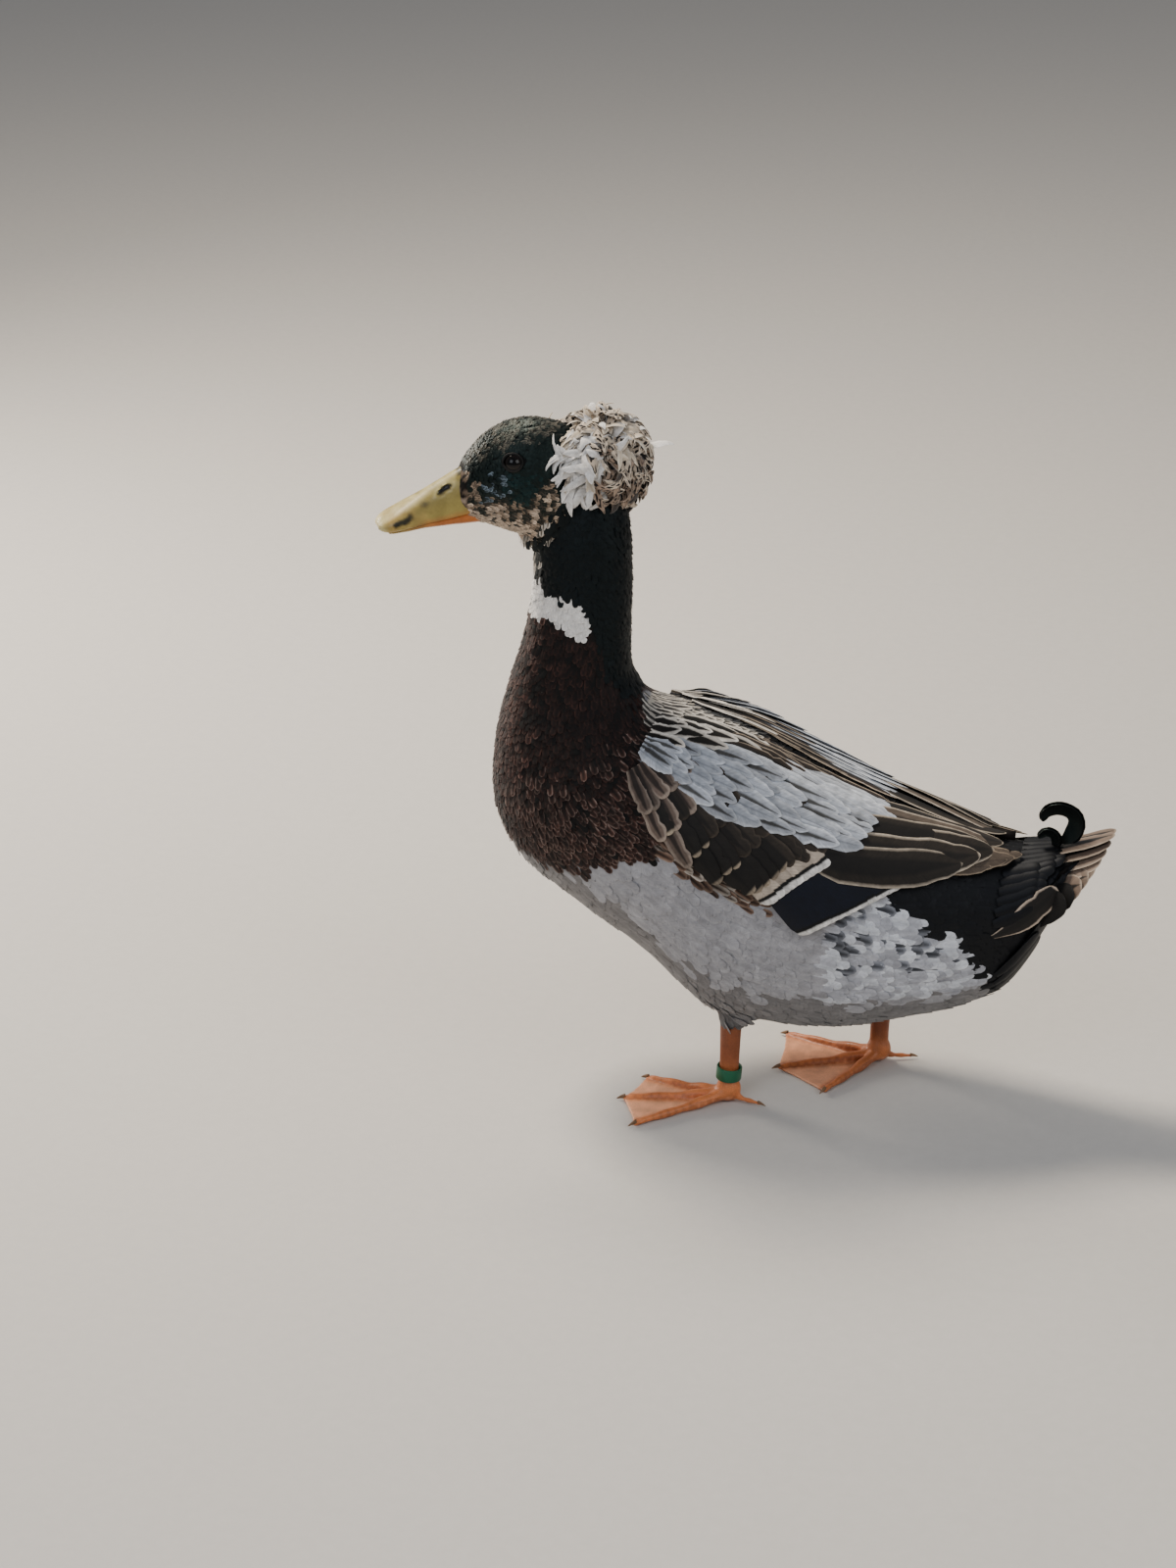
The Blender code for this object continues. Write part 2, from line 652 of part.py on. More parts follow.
def tier_vanes(tier, side, draw):
    """One tier of the wing's feathers, spaced evenly between its first and its last."""
    made = []
    for i in range(tier.count):
        share = i / max(1, tier.count - 1)
        length = draw.uniform(-STRAY_LENGTH, STRAY_LENGTH)
        turn = draw.uniform(-STRAY_DEGREES, STRAY_DEGREES)
        root = [mix(a, b, share) for a, b in zip(tier.first[0], tier.last[0])]
        tip = [mix(a, b, share) for a, b in zip(tier.first[1], tier.last[1])]
        tip = [tip[0] + (tip[0] - root[0]) * length, tip[1] + turn]

        def path(f, root=root, tip=tip):
            t, phi = mix(root[0], tip[0], f), mix(root[1], tip[1], f)
            here, normal = trunk_frame(t, math.radians(phi), side)
            high = wing_thickness(t) * mix(*tier.height, f)
            spot = here + normal * max(high, tier.thick / 2 + 2 * GAP)
            spot.y = side * max(abs(spot.y), tier.width * MIDLINE_SHARE)
            return spot, normal

        roll = math.radians(tier.roll) * side
        made.append(vane(path, tier.width, tier.thick, tier.outline, roll, tier.camber))
    return made


def make_wing(side, torso):
    """A closed wing: a thin pad that holds the tiers of feathers."""
    draw = random.Random(SEED)
    pieces = [wing_core(side)]
    for tier in WING_TIERS:
        pieces += tier_vanes(tier, side, draw)
    name = "wing_left" if side < 0 else "wing_right"
    return node(name, pieces, WING_FEATHERS.make(), [grown(torso)])


def straight(root, tip, up, sag=0):
    """A path from root to tip that sags by some millimetres at its middle."""
    root, tip, up = Vector(root), Vector(tip), Vector(up).normalized()
    return lambda f: (root.lerp(tip, f) + up * (-4 * sag * f * (1 - f)), up)


def tail_vanes():
    """The fan of the tail's own feathers, from the middle pair outwards and down."""
    made = []
    for k in range(RECTRICES):
        f = k / (RECTRICES - 1)
        root, tip = RECTRIX_MIDDLE[0].lerp(RECTRIX_OUTER[0], f), RECTRIX_MIDDLE[1].lerp(RECTRIX_OUTER[1], f)
        tip.x += RECTRIX_BULGE * 4 * f * (1 - f)
        lean = math.radians(mix(0, RECTRIX_LEAN, f))
        for side in (-1, 1):
            low = Vector((0, 0, -RECTRIX_STEP if side > 0 else 0))
            mirrored = [Vector((p.x, p.y * side, p.z)) + low for p in (root, tip)]
            up = (-0.1, side * math.sin(lean), math.cos(lean))
            path = straight(*mirrored, up, RECTRIX_SAG)
            made.append(vane(path, RECTRIX_WIDTH, RECTRIX_THICKNESS, ROUND))
    return made


def covert_vanes(root_t, tip_t, beyond, height, angles, width):
    """A tier of coverts around the tail's root, from one station to another and some way past the end."""
    made = []
    for degrees in angles:
        side = 1 if degrees >= 0 else -1
        phi = math.radians(abs(degrees))

        def path(f):
            here, normal = trunk_frame(mix(root_t, tip_t, f), phi, side)
            ahead = (trunk_point(tip_t, phi, side) - trunk_point(tip_t + 0.3, phi, side)).normalized()
            return here + normal * mix(-COVERT_DEPTH, height, f) + ahead * (beyond * f * f), normal

        made.append(vane(path, width, COVERT_THICKNESS, ROUND))
    return made


def make_tail(torso, curls):
    """The tail: a core, the fan of feathers, and the coverts above and below it."""
    core = loft("tail", trunk_rings(TAIL_END, TORSO_END, 6, 28, (0, -2)))
    pieces = [core, *tail_vanes()]
    for row in TAIL_COVERTS:
        pieces += covert_vanes(*row)
    return node("tail", pieces, TAIL_FEATHERS.make(), [grown(torso), grown(curls)])


def clear_of_head(spot):
    """Moves a point of the crest sideways until it is outside the head."""
    a, z = CREST_CENTRE[0] - spot.x, CREST_CENTRE[1] + spot.z
    if a > HEAD[0][0]:
        spot.y = math.copysign(max(abs(spot.y), head_side(a, z) + CREST_CLEAR), spot.y)
    return spot


def crest_vane(direction, draw):
    """One crest feather: it leaves the core and bends along the ball, away from the middle of its side."""
    radii = Vector(CREST_RADII)
    middle = Vector((0, math.copysign(1, direction.y), 0))
    flow = (direction * direction.dot(middle) - middle).normalized()
    bend, reach = draw.uniform(*CREST_BEND), draw.uniform(*CREST_REACH)
    centre = head_point(CREST_CENTRE[0], 0, CREST_CENTRE[1])
    turn = Matrix.Rotation(HEAD_YAW, 3, "Z")

    def path(f):
        heading = (direction + flow * (bend * (f ** 1.5 - CREST_LEAN))).normalized()
        radius = mix(CREST_CORE * 0.8, reach, math.sin(f * math.pi / 2))
        spot = Vector([h * r * radius for h, r in zip(heading, radii)])
        if f > 0.3:
            spot = clear_of_head(spot)
        up = (heading * mix(0.35, 1, f) - flow * mix(0.9, 0.3, f)).normalized()
        return centre + turn @ spot, turn @ up

    twist = draw.uniform(-CREST_TWIST, CREST_TWIST)
    return vane(path, draw.uniform(*CREST_WIDTH), CREST_THICKNESS, LEAF, twist)


def make_crest(cutters):
    """The round crest behind the crown, feather by feather around a small core."""
    draw = random.Random(SEED)
    middle = head_point(CREST_CENTRE[0], 0, CREST_CENTRE[1])
    turn = Matrix.Rotation(HEAD_YAW, 4, "Z")
    pieces = [ball("crest", middle, [r * CREST_CORE for r in CREST_RADII], 12, 7, turn)]
    for k in range(CREST_FEATHERS):
        height = 1 - 2 * (k + 0.5) / CREST_FEATHERS
        turn = k * GOLDEN_TURN + draw.uniform(-0.15, 0.15)
        ring = math.sqrt(1 - height * height)
        direction = Vector((ring * math.cos(turn), ring * math.sin(turn), height))
        if direction.dot(Vector(CREST_ROOT).normalized()) < CREST_HIDDEN:
            pieces.append(crest_vane(direction, draw))
    return node("crest", pieces, CREST.make(), cutters)


def make_curls():
    """The two curled feathers above the tail, on one small root."""
    pieces = [ball("seat", *CURL_SEAT, 10, 6)]
    for points, width in ((BIG_CURL, BIG_CURL_WIDTH), (SMALL_CURL, SMALL_CURL_WIDTH)):
        rings = []
        for i, point in enumerate(points):
            here = Vector(point)
            along = Vector(points[min(i + 1, len(points) - 1)]) - Vector(points[max(i - 1, 0)])
            twist = Matrix.Rotation(CURL_TURN, 3, along)
            out = twist @ along.normalized().cross(Vector((0, 1, 0)))
            half = width / 2 * (CURL_TAPER if i in (0, len(points) - 1) else 1)
            flat = twist @ Vector((0, half, 0))
            corners = ((1, 1), (-1, 1), (-1, -1), (1, -1))
            rings.append([here + flat * x + out * (CURL_THICKNESS / 2 * y) for x, y in corners])
        pieces.append(loft("curl", rings))
    return node("tail_curls", pieces, CURLS.make())


def oval(centre, deep, wide, sides=14):
    turns = spread(0, 2 * math.pi, sides + 1)[:-1]
    return [Vector(centre) + Vector((deep * math.cos(turn), wide * math.sin(turn), 0)) for turn in turns]


def toe_path(ankle, side, angle, length):
    """Points of a toe from under the ankle to its tip, and of its claw."""
    along = Vector((-math.cos(angle), side * math.sin(angle), 0))
    start = Vector((ankle[0], ankle[1], 0))
    return [start + along * (length * f) + Vector((0, 0, z)) for f, z in TOE_LINE]


def make_foot(name, ankle, side, angles):
    """A webbed foot on flats at the floor."""
    pieces = [ball("ankle", (ankle[0], ankle[1], ANKLE_HEIGHT), ANKLE_RADII, 12, 8)]
    tips = []
    for angle, length in zip(angles, TOE_LENGTHS):
        points = toe_path(ankle, side, math.radians(angle), length)
        pieces.append(tube("toe", points, TOE_RADII, 1))
        tips.append(points)
    for first, second in zip(tips, tips[1:]):
        pieces.append(web(first, second))
    back = toe_path(ankle, side, math.radians(HALLUX_TURN), HALLUX_LENGTH)
    raised = [point + Vector((0, 0, HALLUX_LIFT)) for point in back]
    pieces.append(tube("hallux", raised, [radius * HALLUX_SCALE for radius in TOE_RADII], 1))
    x, y = ankle
    floor = slab("floor", (x - 120, y - 120, -40), (x + 120, y + 120, 0))
    ceiling = slab("ceiling", (x - 40, y - 40, SHANK_FOOT - GAP / 2), (x + 40, y + 40, 60))
    return node(name, pieces, SKIN.make(), [floor, ceiling])


def web(first, second):
    """The skin between two toes, its front edge curved in."""
    rings = []
    for i in range(len(first) - 1):
        a, b = first[i], second[i]
        row = []
        for f in spread(0, 1, 5):
            dip = 4 * f * (1 - f)
            spot = a.lerp(b, f)
            root = (first[0] + second[0]) / 2
            spot = spot.lerp(root, WEB_DIP * dip * i / len(first))
            row.append(Vector((spot.x, spot.y, 0)))
        top = [point + Vector((0, 0, WEB_TOP)) for point in row]
        bottom = [point + Vector((0, 0, WEB_BOTTOM)) for point in reversed(row)]
        rings.append(top + bottom)
    return loft("web", rings)


def make_leg(suffix, ankle, side, angles, torso):
    """Foot, bare shank and feathered thigh of one leg."""
    make_foot("foot_" + suffix, ankle, side, angles)
    x, y = ankle
    shank = loft("shank", [oval((x + lean, y, z), deep, wide) for z, lean, deep, wide in SHANK])
    thigh = loft("thigh", [oval((x + lean, y, z), deep, wide, 18) for z, lean, deep, wide in THIGH])
    node("shank_" + suffix, [shank], SKIN.make())
    node("thigh_" + suffix, [thigh], BODY.make(), [grown(torso)])


def make_band():
    """The plain ring around the left shank."""
    x, y = LEFT_ANKLE
    centre = Vector((x + BAND_LEAN, y, BAND_Z))
    tilt = Matrix.Rotation(math.radians(BAND_TILT), 4, "Y")
    ring = turned("ring", BAND_OUTER, BAND_HEIGHT, centre, tilt)
    hole = turned("hole", BAND_INNER, BAND_HEIGHT * 2, centre, tilt)
    return node("leg_band", [ring], BAND.make(), [hole])


def turned(name, radius, height, centre, turn):
    """A round bar standing on centre."""
    made = mesh_object(name, [], [], "pieces")
    work = bmesh.new()
    bmesh.ops.create_cone(work, cap_ends=True, segments=28, radius1=radius, radius2=radius, depth=height)
    place = Matrix.Scale(MM, 4) @ Matrix.Translation(centre) @ turn
    bmesh.ops.transform(work, matrix=place, verts=work.verts)
    work.to_mesh(made.data)
    work.free()
    return made


def settle():
    """Moves the whole bird so that the origin is the middle of its bounding box, at the floor."""
    parts = list(collection("duck").objects)
    corners = [vert.co for part in parts for vert in part.data.vertices]
    middle = [(min(c[i] for c in corners) + max(c[i] for c in corners)) / 2 for i in (0, 1)]
    shift = Matrix.Translation((-middle[0], -middle[1], 0))
    for part in parts:
        part.data.transform(shift)
        centre = sum((vert.co for vert in part.data.vertices), Vector()) / len(part.data.vertices)
        part.data.transform(Matrix.Translation(-centre))
        part.location = centre


def main():
    """Builds every part of the bird."""
    for old in list(bpy.data.objects):
        bpy.data.objects.remove(old)
    head = head_shape()
    torso = make_torso()
    neck = make_neck(head)
    make_bill(head)
    make_crest([grown(head), grown(neck)])
    make_head(head)
    for side in (-1, 1):
        make_wing(side, torso)
    curls = make_curls()
    make_tail(torso, curls)
    make_leg("left", LEFT_ANKLE, -1, LEFT_TOES, torso)
    make_leg("right", RIGHT_ANKLE, 1, RIGHT_TOES, torso)
    make_band()
    settle()


main()
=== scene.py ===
"""The looks of a crested drake: skin, coat, wings, tail, crest, bill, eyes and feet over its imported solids.

Lengths are millimetres in the bird's own frame, which faces -X with its left side at -Y and +Z up,
until a mesh is made. Bird.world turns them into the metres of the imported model.
"""

import json
import logging
import math
from collections.abc import Callable
from dataclasses import dataclass, field
from enum import Enum
from functools import partial

import bmesh
import bpy
import numpy as np
from mathutils import Matrix, Vector, noise
from mathutils.bvhtree import BVHTree
from mathutils.kdtree import KDTree

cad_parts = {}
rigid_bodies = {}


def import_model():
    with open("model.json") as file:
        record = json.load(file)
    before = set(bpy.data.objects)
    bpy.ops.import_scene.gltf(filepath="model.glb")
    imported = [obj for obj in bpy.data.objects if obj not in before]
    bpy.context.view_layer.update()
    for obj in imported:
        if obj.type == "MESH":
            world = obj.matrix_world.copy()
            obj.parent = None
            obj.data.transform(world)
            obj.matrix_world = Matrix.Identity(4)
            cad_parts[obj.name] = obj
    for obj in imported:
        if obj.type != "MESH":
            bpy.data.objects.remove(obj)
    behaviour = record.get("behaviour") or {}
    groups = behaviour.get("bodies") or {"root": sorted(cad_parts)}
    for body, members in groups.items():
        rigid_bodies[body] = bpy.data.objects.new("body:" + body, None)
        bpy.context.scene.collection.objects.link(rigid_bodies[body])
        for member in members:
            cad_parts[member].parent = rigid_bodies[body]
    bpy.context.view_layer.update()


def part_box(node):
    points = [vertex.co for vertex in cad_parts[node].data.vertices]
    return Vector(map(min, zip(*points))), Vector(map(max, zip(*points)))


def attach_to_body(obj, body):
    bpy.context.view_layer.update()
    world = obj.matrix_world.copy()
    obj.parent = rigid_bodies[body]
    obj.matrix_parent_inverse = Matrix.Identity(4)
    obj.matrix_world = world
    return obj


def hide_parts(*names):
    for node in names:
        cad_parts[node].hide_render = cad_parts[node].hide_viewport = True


log = logging.getLogger("drake")
Array = np.ndarray
Piece, Node = bpy.types.Object, bpy.types.Node
Numbers = np.random.Generator
MM = 0.001
SEED = 11
TUFT_PATCH = 0.003
ATLAS_MARGIN = 0.12
UP = np.array((0, 0, 1))
FULL_TURN = 2 * math.pi
COLOURS = ("tint", "fringe", "centre")
BRIGHTEST = 0.92
MATH, RANGE, NOISE = "ShaderNodeMath", "ShaderNodeMapRange", "ShaderNodeTexNoise"
SPLIT, JOIN, VECTOR = "ShaderNodeSeparateXYZ", "ShaderNodeCombineXYZ", "ShaderNodeVectorMath"


# Small helpers.


def linear(code: str) -> tuple[float, float, float, float]:
    """Turns an sRGB hex colour into linear red, green, blue and an alpha of one."""
    parts = (int(code[i : i + 2], 16) / 255 for i in (1, 3, 5))
    return (*(c / 12.92 if c <= 0.04045 else ((c + 0.055) / 1.055) ** 2.4 for c in parts), 1.0)


def rgb(*codes: str) -> list[Array]:
    """Turns sRGB hex colours into linear red, green and blue."""
    return [np.array(linear(code)[:3]) for code in codes]


def mix(base: Array, colour: Array, share: Array) -> Array:
    """Mixes a colour into another by a share at each point."""
    return base * (1 - share) + colour * share


def feed(node: Node, key: int | str, item: object) -> None:
    """Links a node's first output or a socket to an input, or sets the input to a value."""
    item = item.outputs[0] if isinstance(item, Node) else item
    if isinstance(item, bpy.types.NodeSocket):
        node.id_data.links.new(item, node.inputs[key])
    else:
        node.inputs[key].default_value = item


def add_node(
    tree: bpy.types.NodeTree, kind: str, settings: dict | str | None = None, *inputs: object
) -> Node:
    """Adds a node.

    Args:
        tree: Its tree.
        kind: Its type name.
        settings: Its attributes and their values, or its operation.
        *inputs: What goes into its inputs in order, or dicts of it by an input's name or number.

    Returns:
        The new node.
    """
    node = tree.nodes.new(kind)
    values = {"operation": settings} if isinstance(settings, str) else settings or {}
    for name, value in values.items():
        setattr(node, name, value)
    for number, source in enumerate(inputs):
        for key, item in (source if isinstance(source, dict) else {number: source}).items():
            feed(node, key, item)
    return node


def curve_rows(rows: Array | tuple, t: Array) -> Array:
    """Reads a table between its rows, on a Catmull-Rom curve.

    Args:
        rows: One row at each whole number of t.
        t: Where to read.

    Returns:
        One row of values for each t.
    """
    rows = np.array(rows, float)
    last = len(rows) - 1
    i = np.clip(t.astype(int), 0, last - 1)
    f = np.clip(t - i, 0, 1)[:, None]
    p, q, r, s = (rows[np.clip(i + k, 0, last)] for k in (-1, 0, 1, 2))
    return 0.5 * (2 * q + (r - p) * f + (2 * p - 5 * q + 4 * r - s) * f**2 + (3 * q - p - 3 * r + s) * f**3)


def read_columns(rows: tuple, place: Array, *columns: int) -> list[Array]:
    """Reads columns of a table whose first column rises, in straight lines between its rows."""
    table = np.array(rows)
    return [np.interp(place, table[:, 0], table[:, column]) for column in columns]


def power(value: Array, exponent: float) -> Array:
    """Raises a number's size to a power and keeps its sign."""
    return np.sign(value) * np.abs(value) ** exponent


def unit(vectors: Array) -> Array:
    """Scales rows of vectors to length one."""
    return vectors / (np.linalg.norm(vectors, axis=-1, keepdims=True) + 1e-12)


def dots(first: Array, second: Array) -> Array:
    """The dot product of each pair of rows, as a column."""
    return (first * second).sum(1)[:, None]


def circle(count: int) -> Array:
    """Angles of evenly spread points of a circle."""
    return np.linspace(0, FULL_TURN, count, endpoint=False)


def ellipse(middle: Array, across: Array, height: Array, count: int) -> Array:
    """Points around a middle, from a half width across and a half height."""
    return middle + np.outer(np.cos(circle(count)), across) + np.outer(np.sin(circle(count)), height)


def mesh_piece(name: str, points: Array, faces: list, smooth: bool = True) -> Piece:
    """Makes an object at the origin.

    Args:
        name: Its name.
        points: One row for each point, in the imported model's metres.
        faces: Tuples of point numbers.
        smooth: Whether it is shaded smooth.

    Returns:
        The new object, in the scene.
    """
    mesh = bpy.data.meshes.new(name)
    mesh.from_pydata(points.tolist(), [], faces)
    mesh.update()
    if smooth:
        mesh.shade_smooth()
    piece = bpy.data.objects.new(name, mesh)
    bpy.context.scene.collection.objects.link(piece)
    return piece


def ring_faces(rings: int, count: int, looped: bool = False) -> list:
    """Faces of a loft through rings.

    Args:
        rings: Number of rings.
        count: Points in each.
        looped: Whether the last ring joins the first, with no caps.

    Returns:
        Tuples of point numbers.
    """
    faces = []
    for i in range(rings if looped else rings - 1):
        here, ahead = i * count, (i + 1) % rings * count
        beside = [(k, (k + 1) % count) for k in range(count)]
        faces += [(here + k, here + n, ahead + n, ahead + k) for k, n in beside]
    if not looped:
        faces += [tuple(reversed(range(count))), tuple(range((rings - 1) * count, rings * count))]
    return faces


def sphere(segments: int, rings: int) -> tuple[Array, list]:
    """Points and faces of a sphere of radius one."""
    work = bmesh.new()
    bmesh.ops.create_uvsphere(work, u_segments=segments, v_segments=rings, radius=1)
    points = np.array([tuple(vert.co) for vert in work.verts])
    faces = [tuple(vert.index for vert in face.verts) for face in work.faces]
    work.free()
    return points, faces


def face_out(piece: Piece) -> Piece:
    """Turns a closed mesh's faces outwards."""
    work = bmesh.new()
    work.from_mesh(piece.data)
    bmesh.ops.recalc_face_normals(work, faces=work.faces)
    if work.calc_volume(signed=True) < 0:
        bmesh.ops.reverse_faces(work, faces=work.faces)
    work.to_mesh(piece.data)
    work.free()
    return piece


def set_colours(mesh: bpy.types.Mesh, name: str, values: Array) -> None:
    """Stores a linear colour, given as rows of red, green and blue, at each point of a mesh."""
    layer = mesh.attributes.new(name, "FLOAT_COLOR", "POINT")
    rgba = np.ones((len(values), 4), np.float32)
    rgba[:, :3] = values[:, :3]
    layer.data.foreach_set("color", rgba.ravel())


def set_vectors(mesh: bpy.types.Mesh, name: str, values: Array) -> None:
    """Stores a row of three numbers at each point of a mesh."""
    layer = mesh.attributes.new(name, "FLOAT_VECTOR", "POINT")
    layer.data.foreach_set("vector", np.ascontiguousarray(values, np.float32).ravel())


def corner_points(mesh: bpy.types.Mesh) -> Array:
    """The point number of each face corner of a mesh."""
    corners = np.empty(len(mesh.loops), np.int32)
    mesh.loops.foreach_get("vertex_index", corners)
    return corners


def set_map(mesh: bpy.types.Mesh, name: str, values: Array) -> None:
    """Adds a UV map with a place for each face corner of a mesh."""
    mesh.uv_layers.new(name=name).data.foreach_set("uv", values.astype(np.float32).ravel())


def evaluated(piece: Piece) -> bpy.types.Mesh:
    """The mesh that an object's modifiers make, which are then removed."""
    bpy.context.view_layer.update()
    mesh = bpy.data.meshes.new_from_object(piece.evaluated_get(bpy.context.evaluated_depsgraph_get()))
    piece.modifiers.clear()
    return mesh


def fused(pieces: list[Piece], voxel: float, smoothing: int = 3) -> Piece:
    """Fuses overlapping closed meshes into one surface with no seam.

    Args:
        pieces: The objects, of which only the first is left.
        voxel: Size of the remeshing grid in millimetres.
        smoothing: Rounds of smoothing after it.

    Returns:
        The first object.
    """
    base = pieces[0]
    work = bmesh.new()
    for piece in pieces:
        work.from_mesh(piece.data)
    work.to_mesh(base.data)
    work.free()
    for piece in pieces[1:]:
        bpy.data.objects.remove(piece)
    remesh = base.modifiers.new("fuse", "REMESH")
    remesh.mode = "VOXEL"
    remesh.voxel_size = voxel * MM
    smooth = base.modifiers.new("smooth", "SMOOTH")
    smooth.factor = 0.5
    smooth.iterations = smoothing
    base.data = evaluated(base)
    base.data.shade_smooth()
    return base


# The surfaces that carry everything else, with the same sizes as the solids.


class Surface:
    """A closed surface, placed by a station along it and an angle from its top."""

    step = 0.03

    def point(self, t: Array, phi: Array) -> Array:
        """One place for each pair of station and angle."""
        raise NotImplementedError

    def frame(self, t: Array, phi: Array) -> tuple[Array, Array, Array]:
        """Places with the directions that a feather there needs.

        Args:
            t: Stations.
            phi: Radians from the top.

        Returns:
            Points, outward normals and the way that feathers lie.
        """
        here = self.point(t, phi)
        ahead = self.point(t + self.step, phi) - self.point(t - self.step, phi)
        around = self.point(t, phi + self.step) - self.point(t, phi - self.step)
        normal = unit(np.cross(ahead, around))
        middle = (self.point(t, phi * 0) + self.point(t, phi * 0 + math.pi)) / 2
        return here, normal * np.sign(dots(here - middle, normal)), -unit(ahead)


@dataclass(frozen=True)
class Trunk(Surface):
    """The body and neck: dorsal x and z, ventral x and z, and half width from the tail to the nape."""

    rows: tuple = (
        (196, 168, 194, 150, 24),
        (184, 168, 179, 113, 32),
        (168, 169, 158, 77, 39),
        (146, 171, 132, 62, 48),
        (115, 180, 98, 53, 59),
        (80, 193, 62, 46, 68),
        (40, 211, 20, 46, 73),
        (5, 228, -18, 54, 74),
        (-25, 238, -58, 89, 71),
        (-42, 243, -99, 117, 66),
        (-52, 246, -135, 146, 59),
        (-58, 250, -151, 180, 50),
        (-62, 256, -151, 216, 42),
        (-66, 268, -143, 250, 34),
        (-66, 290, -131, 288, 28),
        (-65, 320, -126, 318, 25.5),
        (-66, 350, -124, 347, 24.5),
        (-70, 374, -118, 372, 21),
    )
    squareness: float = 2.2

    def point(self, t: Array, phi: Array) -> Array:
        """Places on the surface.

        Args:
            t: Station, 0 at the tail and 17 at the nape.
            phi: Radians from the back, positive on the bird's right.

        Returns:
            One point for each pair.
        """
        dx, dz, vx, vz, half = curve_rows(self.rows, t).T
        share = (1 + power(np.cos(phi), 2 / self.squareness)) / 2
        across = half * power(np.sin(phi), 2 / self.squareness)
        return np.stack([vx + (dx - vx) * share, across, vz + (dz - vz) * share], 1)


@dataclass(frozen=True)
class Head(Surface):
    """The head: a runs forward from the neck's axis, with top z, bottom z and half width."""

    rows: tuple = (
        (-14, 391, 378, 5),
        (-9, 400, 367, 11),
        (1, 409.5, 354, 17.5),
        (14, 416, 346.5, 22.5),
        (30, 419, 347, 25.5),
        (44, 416.5, 352, 24.5),
        (56, 410, 357, 21),
        (65, 401, 359.5, 17),
        (71, 392.5, 361, 14),
        (75, 385, 363, 11),
    )
    flatness: float = 0.92
    neck_x: float = -96
    yaw: float = math.radians(25)

    @property
    def forward(self) -> Array:
        """Where the bill points, level."""
        return np.array((-math.cos(self.yaw), -math.sin(self.yaw), 0))

    @property
    def left(self) -> Array:
        """Towards the bird's left, level."""
        return np.array((math.sin(self.yaw), -math.cos(self.yaw), 0))

    def place(self, a: Array, b: Array, z: Array) -> Array:
        """Turns the head's own measures into points.

        Args:
            a: Millimetres forward of the neck's axis.
            b: Millimetres to the bird's left.
            z: Height.

        Returns:
            One row for each point.
        """
        a, b, z = np.broadcast_arrays(np.asarray(a, float), b, z)
        base = np.array((self.neck_x, 0, 0)) + a[..., None] * self.forward + b[..., None] * self.left
        return base + z[..., None] * UP

    def turned(self, vectors: Array) -> Array:
        """Turns vectors given as backward, right and up of the head into the bird's frame."""
        return vectors[..., :1] * -self.forward + vectors[..., 1:2] * -self.left + vectors[..., 2:] * UP

    def point(self, t: Array, phi: Array) -> Array:
        """Places on the surface.

        Args:
            t: Station, 0 at the back and 9 inside the bill.
            phi: Radians from the crown, positive on the bird's left.

        Returns:
            One point for each pair.
        """
        a, top, bottom, half = curve_rows(self.rows, t).T
        side = half * power(np.sin(phi), self.flatness)
        return self.place(a, side, bottom + (top - bottom) * (1 + np.cos(phi)) / 2)

    def half_width(self, a: Array, z: Array) -> Array:
        """How far the head's side stands from its middle.

        Args:
            a: Millimetres forward of the neck's axis.
            z: Height.

        Returns:
            The half width at each place.
        """
        top, bottom, half = read_columns(self.rows, a, 1, 2, 3)
        level = (z - (top + bottom) / 2) / ((top - bottom) / 2)
        return half * np.sqrt(np.clip(1 - level * level, 0, 1)) ** self.flatness


@dataclass(frozen=True)
class WingShape:
    """The closed wing's own outline on the flank: station, upper and lower edge, thickness."""

    rows: tuple = (
        (9.35, 40, 62, 3),
        (9.0, 22, 71, 6),
        (8.2, 9, 77, 8.5),
        (7.2, 5, 79, 9),
        (6.2, 4, 77, 8.5),
        (5.5, 4, 84, 7.5),
        (4.8, 4, 70, 7.5),
        (4.1, 4, 54, 7.5),
        (3.4, 5, 44, 7.5),
        (2.7, 7, 34, 8),
        (2.2, 11, 26, 9),
    )
    margin: float = 9

    def read(self, t: Array, column: int) -> Array:
        """One column of the table at stations of the trunk."""
        return read_columns(self.rows[::-1], t, column)[0]

    def covers(self, t: Array, degrees: Array) -> Array:
        """Tells which places of the trunk lie well under the wing."""
        upper, lower = self.read(t, 1), self.read(t, 2)
        inside = (degrees > upper + self.margin * 0.6) & (degrees < lower - self.margin)
        return inside & (t < self.rows[0][0] - 0.5) & (t > self.rows[-1][0] + 0.2)


@dataclass
class Bird:
    """The bird's surfaces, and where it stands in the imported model."""

    trunk: Trunk = field(default_factory=Trunk)
    head: Head = field(default_factory=Head)
    band_centre: tuple = (-2.7, -33)
    shift: Array = field(default_factory=lambda: np.zeros(3))

    def settle(self) -> None:
        """Finds the shift between the bird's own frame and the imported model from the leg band."""
        low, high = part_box("leg_band")
        middle = (low + high) / 2 / MM
        self.shift = np.array((middle.x - self.band_centre[0], middle.y - self.band_centre[1], 0))

    def world(self, points: Array) -> Array:
        """Turns the bird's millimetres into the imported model's metres."""
        return (np.asarray(points, float) + self.shift) * MM

    def loft(self, name: str, rings: Array | list, looped: bool = False) -> Piece:
        """Makes a closed mesh through rings of points, each given in the bird's millimetres."""
        faces = ring_faces(len(rings), len(rings[0]), looped)
        return face_out(mesh_piece(name, self.world(np.concatenate(rings)), faces))


# Colours and marks of feathers.


